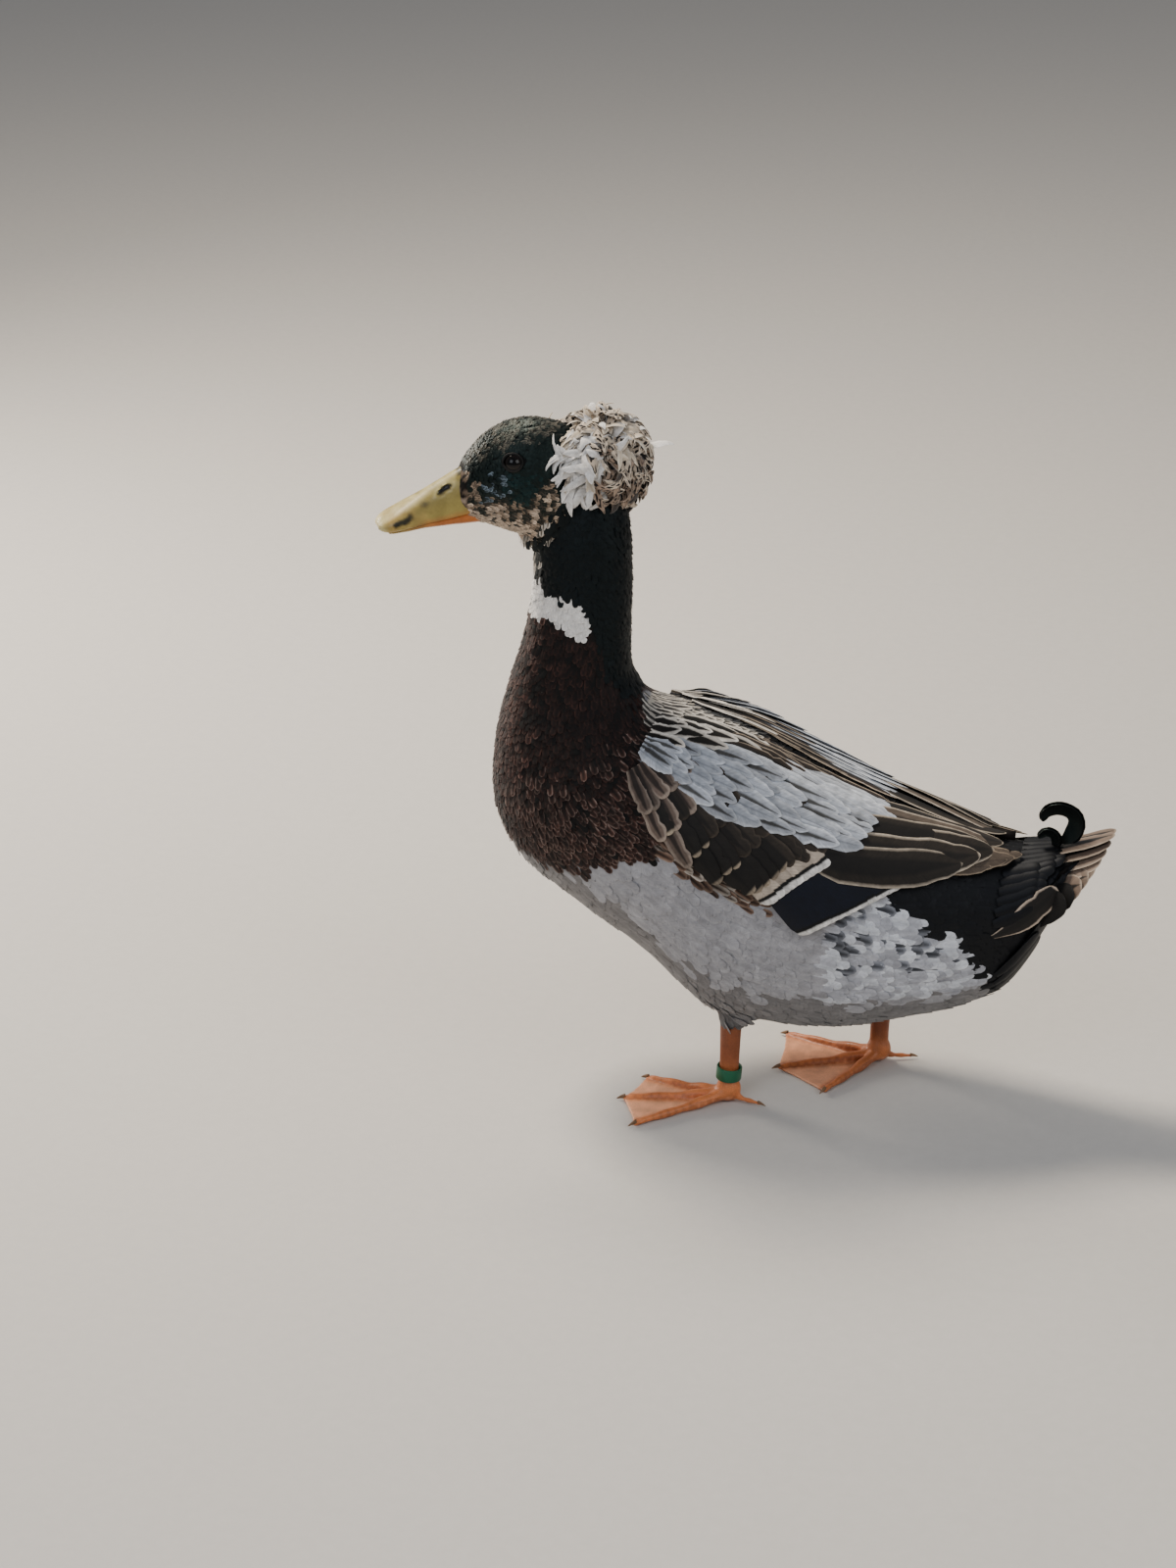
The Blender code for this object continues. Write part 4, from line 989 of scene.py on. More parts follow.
class VaneStack:
    """Gathers single vanes with their colours into one mesh."""

    def __init__(self, bird: Bird, seed: int, rows: int = 14, columns: int = 7) -> None:
        """Starts an empty stack.

        Args:
            bird: The bird's frame.
            seed: Seed of its small variations.
            rows: Points along a vane, closer at its tip.
            columns: Points across a vane.
        """
        self.bird = bird
        self.tables = kind_tables(Quill)
        self.kinds = list(Quill)
        self.draw = np.random.default_rng(seed)
        self.f = 1 - (1 - np.linspace(0, 1, rows)) ** 1.8
        self.x = np.linspace(-1, 1, columns)
        self.points: list[Array] = []
        self.faces: list[Array] = []
        self.maps: list[Array] = []
        self.values: dict[str, list[Array]] = {name: [] for name in (*COLOURS, "marks", "size")}
        self.count = 0

    def cells(self) -> Array:
        """Faces of one vane: its top, its underside and its rim."""
        rows, columns = len(self.f), len(self.x)
        total = rows * columns
        i, j = np.meshgrid(np.arange(rows - 1), np.arange(columns - 1), indexing="ij")
        a = (i * columns + j).ravel()
        quads = np.stack([a, a + 1, a + columns + 1, a + columns], 1)
        e = np.arange(rows - 1) * columns
        r = e + columns - 1
        s = np.arange(columns - 1)
        t = s + (rows - 1) * columns
        rim = [
            np.stack([e, e + columns, e + columns + total, e + total], 1),
            np.stack([r + columns, r, r + total, r + columns + total], 1),
            np.stack([s + 1, s, s + total, s + 1 + total], 1),
            np.stack([t, t + 1, t + 1 + total, t + total], 1),
        ]
        return np.concatenate([quads, quads[:, ::-1] + total, *rim])

    def add(
        self, path: Array, up: Array, width: float, thick: float, outline: Outline, kind: Quill,
        camber: float, roll: float = 0.0, ragged: float = 0.03, shade: float = 1.0, row: Array | None = None,
    ) -> None:
        """Adds one vane.

        Args:
            path: Its middle line, one point for each of the stack's fractions.
            up: The upward direction at each point.
            width: Its greatest width.
            thick: Its thickness at the shaft.
            outline: Its outline.
            kind: Its look.
            camber: Height of its middle above its edges.
            roll: Radians that it is turned about its line.
            ragged: Unevenness of its edges and depth of a split.
            shade: Factor on its colours, below one where shade is painted.
            row: Direction that its cut tip follows, if it has one.
        """
        f, x = self.f, self.x
        along = unit(np.gradient(path, axis=0))
        across = unit(np.cross(along, up))
        lift = np.cross(across, along)
        if roll:
            cos, sin = math.cos(roll), math.sin(roll)
            across, lift = across * cos + lift * sin, lift * cos - across * sin
        edges = 1 + ragged * self.draw.normal(0, 1, (len(f), 2))
        edges[self.draw.integers(len(f) // 2, len(f) - 2), self.draw.integers(2)] -= 5 * ragged
        share = outline.half(f)
        reach = (width / 2 * share)[:, None] * x * np.where(x < 0, edges[:, :1], edges[:, 1:])
        rise = camber * (1 - x * x) * share[:, None]
        body = thick / 2 * (1 - 0.55 * np.abs(x)) * (1 - 0.5 * f**3)[:, None]
        base = path[:, None, :] + across[:, None, :] * reach[..., None]
        if row is not None:
            slant = (row @ along[-1]) / (row @ across[-1]) * np.clip(2 * f - 1, 0, 1)
            base = base + along[:, None, :] * (reach * slant[:, None])[..., None]
        flat = np.stack(np.broadcast_arrays((x[None, :] + 1) / 2, f[:, None]), -1).reshape(-1, 2)
        total = len(flat)
        for way in (1, -1):
            self.points.append((base + lift[:, None, :] * (rise + way * body)[..., None]).reshape(-1, 3))
        self.faces.append(self.cells() + self.count * 2 * total)
        self.maps += [flat, flat]
        number = self.kinds.index(kind)
        stray = shade * (1 + self.draw.normal(0, 1) * self.tables["stray"][number])
        length = np.linalg.norm(np.diff(path, axis=0), axis=1).sum()
        values = {name: np.clip(self.tables[name][number] * stray, 0, BRIGHTEST) for name in COLOURS}
        values |= {"marks": self.tables["marks"][number], "size": (length, width, self.draw.uniform())}
        for name, value in values.items():
            self.values[name].append(np.tile(value, (2 * total, 1)))
        self.count += 1

    def piece(self, name: str, finish: FeatherFinish) -> Piece:
        """Makes the mesh of all its vanes, with a cell of the bake map for each.

        Args:
            name: Name of the piece.
            finish: Its finish.

        Returns:
            The piece.
        """
        faces = np.concatenate(self.faces)
        piece = mesh_piece(name, self.bird.world(np.concatenate(self.points)), faces.tolist())
        mesh = piece.data
        flat, corner = np.concatenate(self.maps), corner_points(mesh)
        set_map(mesh, "Vane", flat[corner])
        across = math.ceil(math.sqrt(self.count))
        cell = np.repeat(np.arange(self.count), len(flat) // self.count)
        origin = np.stack([cell % across, cell // across], 1)
        set_map(mesh, "OFBake", ((origin + ATLAS_MARGIN + flat * (1 - 2 * ATLAS_MARGIN)) / across)[corner])
        for key, values in self.values.items():
            (set_colours if key in COLOURS else set_vectors)(mesh, key, np.concatenate(values))
        mesh.set_sharp_from_angle(angle=math.radians(38))
        log.info("%s: %d vanes, %d faces", name, self.count, len(faces))
        return finish.put_on(piece)


# Skin and coat.


@dataclass
class Skin:
    """One skin over the head, neck, body and thighs, inside the solids by the depth of the coat."""

    voxel: float = 2.3
    body_depth: tuple = ((0, 2, 12, 14.4, 17), (2.8, 2.8, 2.4, 2.0, 1.7))
    head_depth: tuple = ((0, 9), (1.0, 1.0))
    throat: tuple = (27, 0, 348.5)
    throat_radii: tuple = (10, 10, 7)
    thighs: tuple = ((-3, -33), (79, 36))
    thigh_rows: tuple = (
        (50.6, 0, 4.6, 3.6), (51.5, 1.5, 6.6, 5.0), (54, 2.5, 8.4, 6.4),
        (60, 5, 11.3, 9.4), (72, 9, 15, 12), (86, 12, 17, 14),
    )
    sides: int = 56
    # Share of the feathers' colour that the skin keeps, painting the shade in the gaps between them.
    stain: float = 0.7

    def shell(self, bird: Bird, surface: Surface, name: str, stations: Array, depth: tuple) -> Piece:
        """A surface as a closed loft under the coat.

        Args:
            bird: The bird's frame.
            surface: The trunk or the head.
            name: Name of the loft.
            stations: Where its rings are.
            depth: Stations and the depth there.

        Returns:
            The loft.
        """
        t = np.repeat(stations, self.sides)
        phi = np.tile(np.linspace(-math.pi, math.pi, self.sides, endpoint=False), len(stations))
        here, normal, _ = surface.frame(t, phi)
        rings = here - normal * np.interp(t, *depth)[:, None]
        return bird.loft(name, rings.reshape(len(stations), self.sides, 3))

    def thigh(self, bird: Bird, ankle: tuple) -> Piece:
        """One feathered thigh as a closed loft over the place where its foot stands."""
        rings = [
            ellipse((ankle[0] + lean, ankle[1], z), (deep, 0, 0), (0, wide, 0), 28)
            for z, lean, deep, wide in self.thigh_rows
        ]
        return bird.loft("skin_thigh", rings)

    def build(self, bird: Bird, markings: Markings) -> Piece:
        """Fuses the lofts and colours the skin as the feathers over it, darkened as painted shade between
        them.

        Args:
            bird: The bird's frame.
            markings: Where each kind of feather grows.

        Returns:
            The skin.
        """
        trunk = self.shell(bird, bird.trunk, "skin", np.linspace(0.1, 17, 110), self.body_depth)
        head = self.shell(bird, bird.head, "skin_head", np.linspace(0, 9, 60), self.head_depth)
        # The soft throat fills the corner between the head and the neck.
        points, faces = sphere(32, 20)
        spots = bird.head.place(*(points * self.throat_radii + self.throat).T)
        throat = mesh_piece("skin_throat", bird.world(spots), faces)
        skin = fused([trunk, head, throat, *(self.thigh(bird, ankle) for ankle in self.thighs)], self.voxel)
        t, phi = (v.ravel() for v in np.meshgrid(np.linspace(0, 17, 170), np.linspace(-math.pi, math.pi, 90)))
        s, psi = (v.ravel() for v in np.meshgrid(np.linspace(0, 9, 60), np.linspace(-math.pi, math.pi, 60)))
        body, face = bird.trunk.point(t, phi), bird.head.point(s, psi)
        forward = curve_rows(bird.head.rows, s)[:, 0]
        kinds = [
            markings.on_trunk(t, phi, None, markings.patches(body)),
            markings.on_head(forward, face[:, 2], None, markings.patches(face)),
        ]
        spots = np.concatenate([body, face])
        tree = KDTree(len(spots))
        for i, spot in enumerate(bird.world(spots)):
            tree.insert(spot, i)
        tree.balance()
        near = [tree.find(v.co)[1] for v in skin.data.vertices]
        tint = kind_tables(Plumage)["tint"][np.concatenate(kinds)[near]]
        skin.name = "skin"
        log.info("skin: %d faces", len(skin.data.polygons))
        return SKIN_FINISH.put_on(skin, tint * self.stain)


@dataclass
class Roots:
    """Places where small feathers grow."""

    place: Array
    normal: Array
    lie: Array
    kind: Array
    flat: Array

    def pick(self, keep: Array) -> "Roots":
        """The roots for which a test holds."""
        return Roots(*(values[keep] for values in vars(self).values()))

    @staticmethod
    def join(parts: list["Roots"]) -> "Roots":
        """All the roots of several sets."""
        return Roots(*(np.concatenate(values) for values in zip(*(vars(part).values() for part in parts))))


def thin_out(points: Array, spacing: Array) -> Array:
    """Picks points so that none stands nearer to another than their spacing.

    Args:
        points: The candidates in their order.
        spacing: The spacing wanted at each.

    Returns:
        The numbers of the points kept.
    """
    keys = np.floor(points / float(spacing.max())).astype(int)
    grid: dict[tuple, list] = {}
    kept = []
    around = [(i, j, k) for i in (-1, 0, 1) for j in (-1, 0, 1) for k in (-1, 0, 1)]
    spots, gaps = points.tolist(), spacing.tolist()
    for n, (x, y, z) in enumerate(keys.tolist()):
        (px, py, pz), gap = spots[n], gaps[n] ** 2
        near = (spot for i, j, k in around for spot in grid.get((x + i, y + j, z + k), ()))
        if all((px - qx) ** 2 + (py - qy) ** 2 + (pz - qz) ** 2 >= gap for qx, qy, qz in near):
            grid.setdefault((x, y, z), []).append((px, py, pz))
            kept.append(n)
    return np.array(kept, int)


class FeatherTree:
    """The Geometry Nodes tree that sets one vane on every root."""

    def __init__(self) -> None:
        """Builds the tree with its named inputs."""
        self.tree = bpy.data.node_groups.new("contour_feathers", "GeometryNodeTree")
        sockets = {
            "Roots": "Geometry", "Vane": "Object", "Lift": "Float", "Ruffle": "Float", "Seed": "Int",
            "Finish": "Material", "Feathers": "Geometry",
        }
        self.ids = {}
        for name, kind in sockets.items():
            way = "OUTPUT" if name == "Feathers" else "INPUT"
            socket = self.tree.interface.new_socket(name, in_out=way, socket_type="NodeSocket" + kind)
            self.ids[name] = socket.identifier
        add = partial(add_node, self.tree)
        source = add("NodeGroupInput").outputs
        lie, normal, size = (
            add("GeometryNodeInputNamedAttribute", {"data_type": "FLOAT_VECTOR"}, {"Name": name})
            for name in ("lie", "up", "grow")
        )
        turn = partial(add, "FunctionNodeAlignRotationToVector")
        aim = turn({"axis": "Z"}, {"Vector": normal})
        lay = turn({"axis": "X", "pivot_axis": "Z"}, {"Rotation": aim, "Vector": lie})
        negative = add(MATH, "MULTIPLY", source["Ruffle"], -1.0)
        low, high = (add(JOIN, None, item, item, item) for item in (negative, source["Ruffle"]))
        vector = {"data_type": "FLOAT_VECTOR"}
        jitter = add("FunctionNodeRandomValue", vector, low, high, {"Seed": source["Seed"]})
        weights = add(VECTOR, "MULTIPLY", jitter, (1.0, 0.35, 1.3))
        tilt = add(JOIN, None, 0.0, add(MATH, "MULTIPLY", source["Lift"], -1.0))
        euler = add("FunctionNodeEulerToRotation", None, add(VECTOR, "ADD", weights, tilt))
        local = {"rotation_space": "LOCAL"}
        posed = add("FunctionNodeRotateRotation", local, {"Rotation": lay, "Rotate By": euler})
        vane = add("GeometryNodeObjectInfo", None, {"Object": source["Vane"]})
        copies = {"Points": source["Roots"], "Instance": vane.outputs["Geometry"]}
        copies |= {"Rotation": posed, "Scale": size}
        placed = add("GeometryNodeInstanceOnPoints", None, copies)
        real = add("GeometryNodeRealizeInstances", None, placed)
        done = add("GeometryNodeSetMaterial", None, real, {"Material": source["Finish"]})
        add("NodeGroupOutput", None, done)

    def run(self, roots: Piece, values: dict) -> bpy.types.Mesh:
        """Evaluates the tree on a mesh of roots.

        Args:
            roots: Object whose points are the roots.
            values: Input values by name.

        Returns:
            A plain mesh of all the feathers.
        """
        modifier = roots.modifiers.new("feathers", "NODES")
        modifier.node_group = self.tree
        for name, value in values.items():
            modifier[self.ids[name]] = value
        return evaluated(roots)


@dataclass
class Coat:
    """The small feathers over the skin."""

    bird: Bird
    markings: Markings
    skin: Piece
    wing: WingShape
    density: float = 7.0
    sink: float = 0.15
    eye: tuple = (43.8, 399.3)
    eye_ring: tuple = (5.9, 4.9)
    bill_base: float = 70.5
    inside: float = 1.5
    under: float = 4.5
    throat_reach: float = 9.0
    throat_level: float = 335

    def __post_init__(self) -> None:
        """Prepares the skin's search tree and the vane that is repeated."""
        mesh = self.skin.data
        points = [v.co / MM - Vector(self.bird.shift) for v in mesh.vertices]
        self.tree = BVHTree.FromPolygons(points, [tuple(p.vertices) for p in mesh.polygons])
        self.feathers = FeatherTree()
        self.tables = kind_tables(Plumage)
        self.growth = np.array([kind.value.grow for kind in Plumage])

    def vane(self, name: str, rows: tuple, camber: float, droop: float = 0.05) -> Piece:
        """The vane that is repeated, one long and one wide, from its root at the origin to +X.

        Args:
            name: Its name.
            rows: Fractions of its length that have points.
            camber: Height of its middle above its edges.
            droop: How far its tip bends down.

        Returns:
            The object, which isn't shown.
        """
        f = np.array(rows)
        points = []
        for x, h, level in zip(f, Outline.ROUND.half(f) / 2, -droop * f**2):
            side = level - camber
            points += [(x, -h, side), (x, 0, level + 0.015), (x, h, side), (x, 0, level - 0.025)]
        piece = face_out(mesh_piece(name, np.array(points), ring_faces(len(f), 4)))
        mesh = piece.data
        row, column = np.divmod(corner_points(mesh), 4)
        set_map(mesh, "Vane", np.stack([np.array((0.0, 0.5, 1.0, 0.5))[column], f[row]], 1))
        for edge in mesh.edges:
            ends = {v % 4 for v in edge.vertices}
            edge.use_edge_sharp = len(ends) == 1 and ends <= {0, 2}
        piece.hide_render = True
        return piece

    def spread(self, surface: Surface, low: float, high: float, area: float, fine: float, seed: int) -> Roots:
        """Scatters roots over a surface, closer where its feathers are smaller.

        The kind of a feather is that of the place which its tip covers.

        Args:
            surface: The trunk or the head.
            low: First station.
            high: Last station.
            area: Rough area in square millimetres.
            fine: Smallest spacing there.
            seed: Seed of the scatter.

        Returns:
            The roots that stand on open skin.
        """
        draw = np.random.default_rng(seed)
        count = int(self.density * area / fine**2)
        t = draw.uniform(low, high, count * 2)
        phi = draw.uniform(-math.pi, math.pi, count * 2)
        step = 0.02
        du = surface.point(t + step, phi) - surface.point(t - step, phi)
        dv = surface.point(t, phi + step) - surface.point(t, phi - step)
        weight = np.linalg.norm(np.cross(du, dv), axis=1)
        keep = draw.uniform(0, np.quantile(weight, 0.995), len(t)) < weight
        t, phi, du = t[keep], phi[keep], du[keep]
        here, normal, lie = surface.frame(t, phi)
        kind = self.kinds(surface, t, phi, here, None)
        rare = draw.uniform(0, 1, len(t)) < (fine / self.growth[kind, 2]) ** 2 * 1.3
        open_skin = self.uncovered(surface, t, phi, here)
        t, phi, here, normal, lie, kind, du = (
            values[rare & open_skin] for values in (t, phi, here, normal, lie, kind, du)
        )
        reach = self.growth[kind, 0] * self.markings.overlap
        ahead = t - reach * 2 * step / np.linalg.norm(du, axis=1)
        kind = self.kinds(surface, np.clip(ahead, 0, None), phi, here + lie * reach[:, None], draw)
        flat = np.stack([(t - low) / (high - low), phi / (2 * math.pi) + 0.5], 1)
        roots = Roots(here, normal, lie, kind, flat)
        return self.snapped(roots.pick(thin_out(roots.place, self.growth[roots.kind, 2])))

    def kinds(self, surface: Surface, t: Array, phi: Array, spots: Array, draw: Numbers | None) -> Array:
        """The kind of feather at places of a surface, with ragged borders if given random numbers."""
        patch = self.markings.patches(spots)
        if isinstance(surface, Trunk):
            return self.markings.on_trunk(t, phi, draw, patch)
        forward = (spots - (surface.neck_x, 0, 0)) @ surface.forward
        return self.markings.on_head(forward, spots[:, 2], draw, patch)

    def uncovered(self, surface: Surface, t: Array, phi: Array, here: Array) -> Array:
        """Tells which places aren't under the wing, the bill or the eye."""
        if isinstance(surface, Trunk):
            return ~self.wing.covers(t, np.abs(np.degrees(phi)))
        a = curve_rows(surface.rows, t)[:, 0]
        ahead, above = (a - self.eye[0]) / self.eye_ring[0], (here[:, 2] - self.eye[1]) / self.eye_ring[1]
        return (ahead**2 + above**2 > 1) & (a < self.bill_base)

    def thighs(self, places: tuple, rows: tuple, seed: int) -> Roots:
        """Scatters roots over the feathered thighs.

        Args:
            places: Where the feet stand.
            rows: A thigh's height, lean, depth and width.
            seed: Seed of the scatter.

        Returns:
            The roots.
        """
        draw = np.random.default_rng(seed)
        parts = []
        for number, ankle in enumerate(places):
            z, turn = draw.uniform(56, 84, 3200), draw.uniform(-math.pi, math.pi, 3200)
            lean, deep, wide = read_columns(rows, z, 1, 2, 3)
            out = np.stack([np.cos(turn), np.sin(turn), turn * 0 - 0.3], 1)
            spots = np.stack([ankle[0] + lean + deep * out[:, 0], ankle[1] + wide * out[:, 1], z], 1)
            flat = np.stack([(turn / math.pi + 1) * 0.07 + 0.14 * number, (z - 53) / 300], 1)
            lie = np.tile((0.25, 0, -1), (len(z), 1))
            # The thighs take the darker grey of painted shade.
            kind = np.full(len(z), Plumage.THIGH.number)
            roots = Roots(spots, unit(out), lie, kind, flat)
            parts.append(roots.pick(thin_out(spots, self.growth[kind, 2])))
        return self.snapped(Roots.join(parts))

    def snapped(self, roots: Roots) -> Roots:
        """Sets roots onto the skin, turned as it faces, and drops those inside it."""
        keep = np.zeros(len(roots.place), bool)
        for i, (spot, normal) in enumerate(zip(roots.place, roots.normal)):
            far = self.throat_reach
            ray = self.tree.ray_cast(Vector(spot + normal * far), Vector(-normal), 2 * far)
            if ray[0] is None or ray[1].dot(Vector(normal)) < 0.3:
                continue
            above = far - ray[3]
            limit = far if ray[1].z < -0.15 and spot[2] > self.throat_level else self.inside
            keep[i] = -self.under < above < limit
            if keep[i]:
                roots.normal[i] = unit(normal * 0.5 + np.array(ray[1]))
                roots.place[i] = np.array(ray[0]) - normal * self.sink
        roots.lie = unit(roots.lie - roots.normal * dots(roots.lie, roots.normal))
        return roots.pick(keep)

    def grow(
        self, name: str, roots: Roots, vane: Piece, lift: float, ruffle: float, finish: FeatherFinish
    ) -> Piece:
        """Makes one piece of the coat.

        Args:
            name: Its name.
            roots: Where its feathers grow.
            vane: The vane that is repeated.
            lift: Degrees that tips stand up.
            ruffle: Degrees that single feathers stray.
            finish: Its finish.

        Returns:
            The piece.
        """
        draw = np.random.default_rng(len(name) + len(roots.kind))
        holder = mesh_piece(name + "_roots", self.bird.world(roots.place), [], False)
        mesh = holder.data
        count = len(roots.kind)
        length, width, _ = self.growth[roots.kind].T * draw.uniform(0.85, 1.15, count)
        stray = 1 + draw.normal(0, 1, count) * self.tables["stray"][roots.kind]
        for key in COLOURS:
            set_colours(mesh, key, np.clip(self.tables[key][roots.kind] * stray[:, None], 0.002, BRIGHTEST))
        vectors = {
            "marks": self.tables["marks"][roots.kind],
            "size": np.stack([length, width, draw.uniform(0, 1, count)], 1),
            "lie": roots.lie, "up": roots.normal, "grow": np.stack([length, width, width], 1) * MM,
            "root_place": np.pad(roots.flat, ((0, 0), (0, 1))),
        }
        for key, values in vectors.items():
            set_vectors(mesh, key, values)
        settings = {
            "Vane": vane, "Lift": math.radians(lift), "Ruffle": math.radians(ruffle),
            "Seed": SEED, "Finish": finish.make(),
        }
        made = self.feathers.run(holder, settings)
        bpy.data.objects.remove(holder)
        made.name = name
        piece = bpy.data.objects.new(name, made)
        bpy.context.scene.collection.objects.link(piece)
        self.bake_map(made)
        for key in ("lie", "up", "grow", "root_place"):
            layer = made.attributes.get(key)
            if layer:
                made.attributes.remove(layer)
        log.info("%s: %d feathers, %d faces", name, count, len(made.polygons))
        return piece

    @staticmethod
    def bake_map(mesh: bpy.types.Mesh) -> None:
        """Adds the bake map: each feather a small patch at its root's place on the skin's unwrap."""
        root = np.empty(len(mesh.vertices) * 3, np.float32)
        mesh.attributes["root_place"].data.foreach_get("vector", root)
        vane = np.empty(len(mesh.loops) * 2, np.float32)
        mesh.uv_layers["Vane"].data.foreach_get("uv", vane)
        place = TUFT_PATCH + root.reshape(-1, 3)[corner_points(mesh), :2] * (1 - 2 * TUFT_PATCH)
        set_map(mesh, "OFBake", place + (vane.reshape(-1, 2) - 0.5) * TUFT_PATCH)


# The closed wing.


class Rank(Enum):
    """The ranks of a wing's feathers: number, outline, thickness, roll, and whether they lie evenly."""

    PRIMARY = (1, Outline.LONG, 0.6, 8, False)
    SECONDARY = (2, Outline.SQUARE, 0.6, 8, True)
    TERTIAL = (3, Outline.LONG, 0.8, 5, True)
    GREATER = (4, Outline.SQUARE, 0.6, 8, True)
    MEDIAN = (5, Outline.SHORT, 0.6, 8, False)
    LESSER = (6, Outline.SHORT, 0.6, 8, False)
    SCAPULAR = (7, Outline.LONG, 0.5, 6, False)


@dataclass(frozen=True)
class Tier:
    """A tier of the wing: root and tip of its first and last vane, as station and degrees.

    The height is the share of the wing's thickness at root and tip. A bow above one keeps a vane low on
    the flank before its tip rises.
    """

    rank: Rank
    count: int
    first: tuple
    last: tuple
    width: float
    height: tuple
    camber: float = 0.7
    bow: float = 1.0


@dataclass
class Wing:
    """One closed wing, built tier by tier from the flight feathers up."""

    bird: Bird
    side: int
    shape: WingShape = field(default_factory=WingShape)
    tiers: tuple = (
        Tier(Rank.PRIMARY, 5, ((4.7, 44), (2.75, 33)), ((4.3, 28), (1.95, 21)), 11, (0.34, 0.4)),
        Tier(Rank.SECONDARY, 15, ((6.55, 62), (5.5, 84)), ((5.1, 26), (4.15, 52)), 12, (0.38, 0.34)),
        Tier(Rank.TERTIAL, 3, ((5.9, 52), (3.35, 35)), ((5.4, 34), (2.75, 19)), 22, (0.45, 0.8), 1.4, 1.8),
        Tier(Rank.TERTIAL, 3, ((5.5, 30), (2.95, 14)), ((5.2, 9), (2.55, 5)), 19, (0.5, 0.95), 1.4, 1.5),
        Tier(Rank.GREATER, 17, ((7.1, 61), (6.05, 76)), ((5.8, 22), (4.8, 34)), 11, (0.4, 0.6)),
        Tier(Rank.MEDIAN, 15, ((7.6, 62), (6.36, 76)), ((6.3, 24), (5.0, 31)), 13, (0.42, 0.72)),
        Tier(Rank.LESSER, 11, ((8.1, 61), (6.9, 76)), ((7.0, 26), (5.7, 29)), 13, (0.42, 0.78)),
        Tier(Rank.LESSER, 11, ((8.5, 59), (7.4, 75)), ((7.6, 28), (6.4, 28)), 12, (0.42, 0.82)),
        Tier(Rank.LESSER, 11, ((8.85, 57), (7.9, 73)), ((8.1, 31), (6.95, 31)), 11, (0.38, 0.85)),
        Tier(Rank.LESSER, 8, ((9.2, 54), (8.3, 67)), ((8.6, 34), (7.45, 33)), 11, (0.35, 0.86)),
        Tier(Rank.SCAPULAR, 11, ((6.3, 45), (5.1, 42)), ((6.0, 6), (4.2, 6)), 13, (0.42, 0.97), 0.8),
        Tier(Rank.SCAPULAR, 11, ((6.8, 47), (5.45, 45)), ((6.5, 7), (4.75, 6)), 13, (0.42, 0.99), 0.8),
        Tier(Rank.SCAPULAR, 11, ((7.25, 48), (5.8, 48)), ((7.0, 7), (5.25, 6)), 12, (0.42, 1.01), 0.8),
        Tier(Rank.SCAPULAR, 11, ((7.7, 49), (6.3, 49)), ((7.5, 8), (5.85, 6)), 12, (0.42, 1.03), 0.8),
        Tier(Rank.SCAPULAR, 11, ((8.1, 49), (6.8, 50)), ((7.95, 8), (6.4, 7)), 11, (0.42, 1.04), 0.8),
        Tier(Rank.SCAPULAR, 11, ((8.5, 47), (7.25, 50)), ((8.4, 10), (6.95, 8)), 11, (0.4, 1.04)),
        Tier(Rank.SCAPULAR, 10, ((8.85, 45), (7.7, 48)), ((8.85, 13), (7.5, 10)), 10, (0.38, 1.03)),
        Tier(Rank.SCAPULAR, 10, ((9.25, 42), (8.15, 46)), ((9.35, 18), (8.05, 13)), 9, (0.3, 1.0), 0.6),
    )
    patch_top: tuple = ((4.0, 5.4, 6.5, 7.05, 8.3), (5, 10, 20, 26, 36))
    brown_station: float = 6.5
    shoulder: float = 7.7
    rear_bow: float = 2.2
    thin_edge: tuple = (20, 0.2)

    def kind(self, tier: Tier, i: int, t: float, degrees: float, draw: Numbers) -> Quill:
        """The look of one vane.

        Args:
            tier: Its tier.
            i: Its number in the tier.
            t: Station of the part that shows.
            degrees: Angle of the part that shows.
            draw: Random numbers.

        Returns:
            Its look.
        """
        chance = draw.uniform()
        if tier.rank in (Rank.PRIMARY, Rank.SECONDARY):
            return Quill[tier.rank.name]
        if tier.rank is Rank.TERTIAL:
            return Quill.TERTIAL_PALE if tier.bow < 1.6 and i == 1 else Quill.TERTIAL
        if tier.rank is Rank.GREATER:
            return Quill.GREATER if i < 10 else Quill.GREATER_REAR
        if tier.rank is Rank.MEDIAN:
            return Quill.COVERT_SPOTTED if chance < 0.3 + 0.5 * (degrees > 60) else Quill.COVERT_DARK
        if tier.rank is Rank.LESSER:
            tan = t > self.shoulder + 0.6 * (chance - 0.5)
            return Quill.COVERT_TAN if tan else Quill.COVERT_SPOTTED if degrees > 64 else Quill.COVERT_DARK
        if degrees > np.interp(t, *self.patch_top):
            return Quill.SCAPULAR_STREAKED if chance < 0.4 else Quill.SCAPULAR
        return Quill.SCAPULAR_MANTLE if t > self.brown_station else Quill.SCAPULAR_BROWN

    def path(self, f: Array, root: Array, tip: Array, tier: Tier) -> tuple[Array, Array]:
        """The middle line of a vane that lies over the flank.

        Args:
            f: Fractions of its length.
            root: Station and degrees of its root.
            tip: Station and degrees of its tip.
            tier: Its tier, whose width keeps it off the middle plane.

        Returns:
            Points and upward directions.
        """
        t = root[0] + (tip[0] - root[0]) * f
        degrees = root[1] + (tip[1] - root[1]) * f**tier.bow
        here, normal, _ = self.bird.trunk.frame(t, np.radians(degrees) * self.side)
        high = self.shape.read(t, 3) * (tier.height[0] + (tier.height[1] - tier.height[0]) * f)
        high *= np.clip((degrees - self.shape.read(t, 1)) / self.thin_edge[0], self.thin_edge[1], 1)
        spot = here + normal * np.maximum(high, 1.0)[:, None]
        spot[:, 1] = self.side * np.maximum(np.abs(spot[:, 1]), tier.width * 0.4)
        return spot, normal

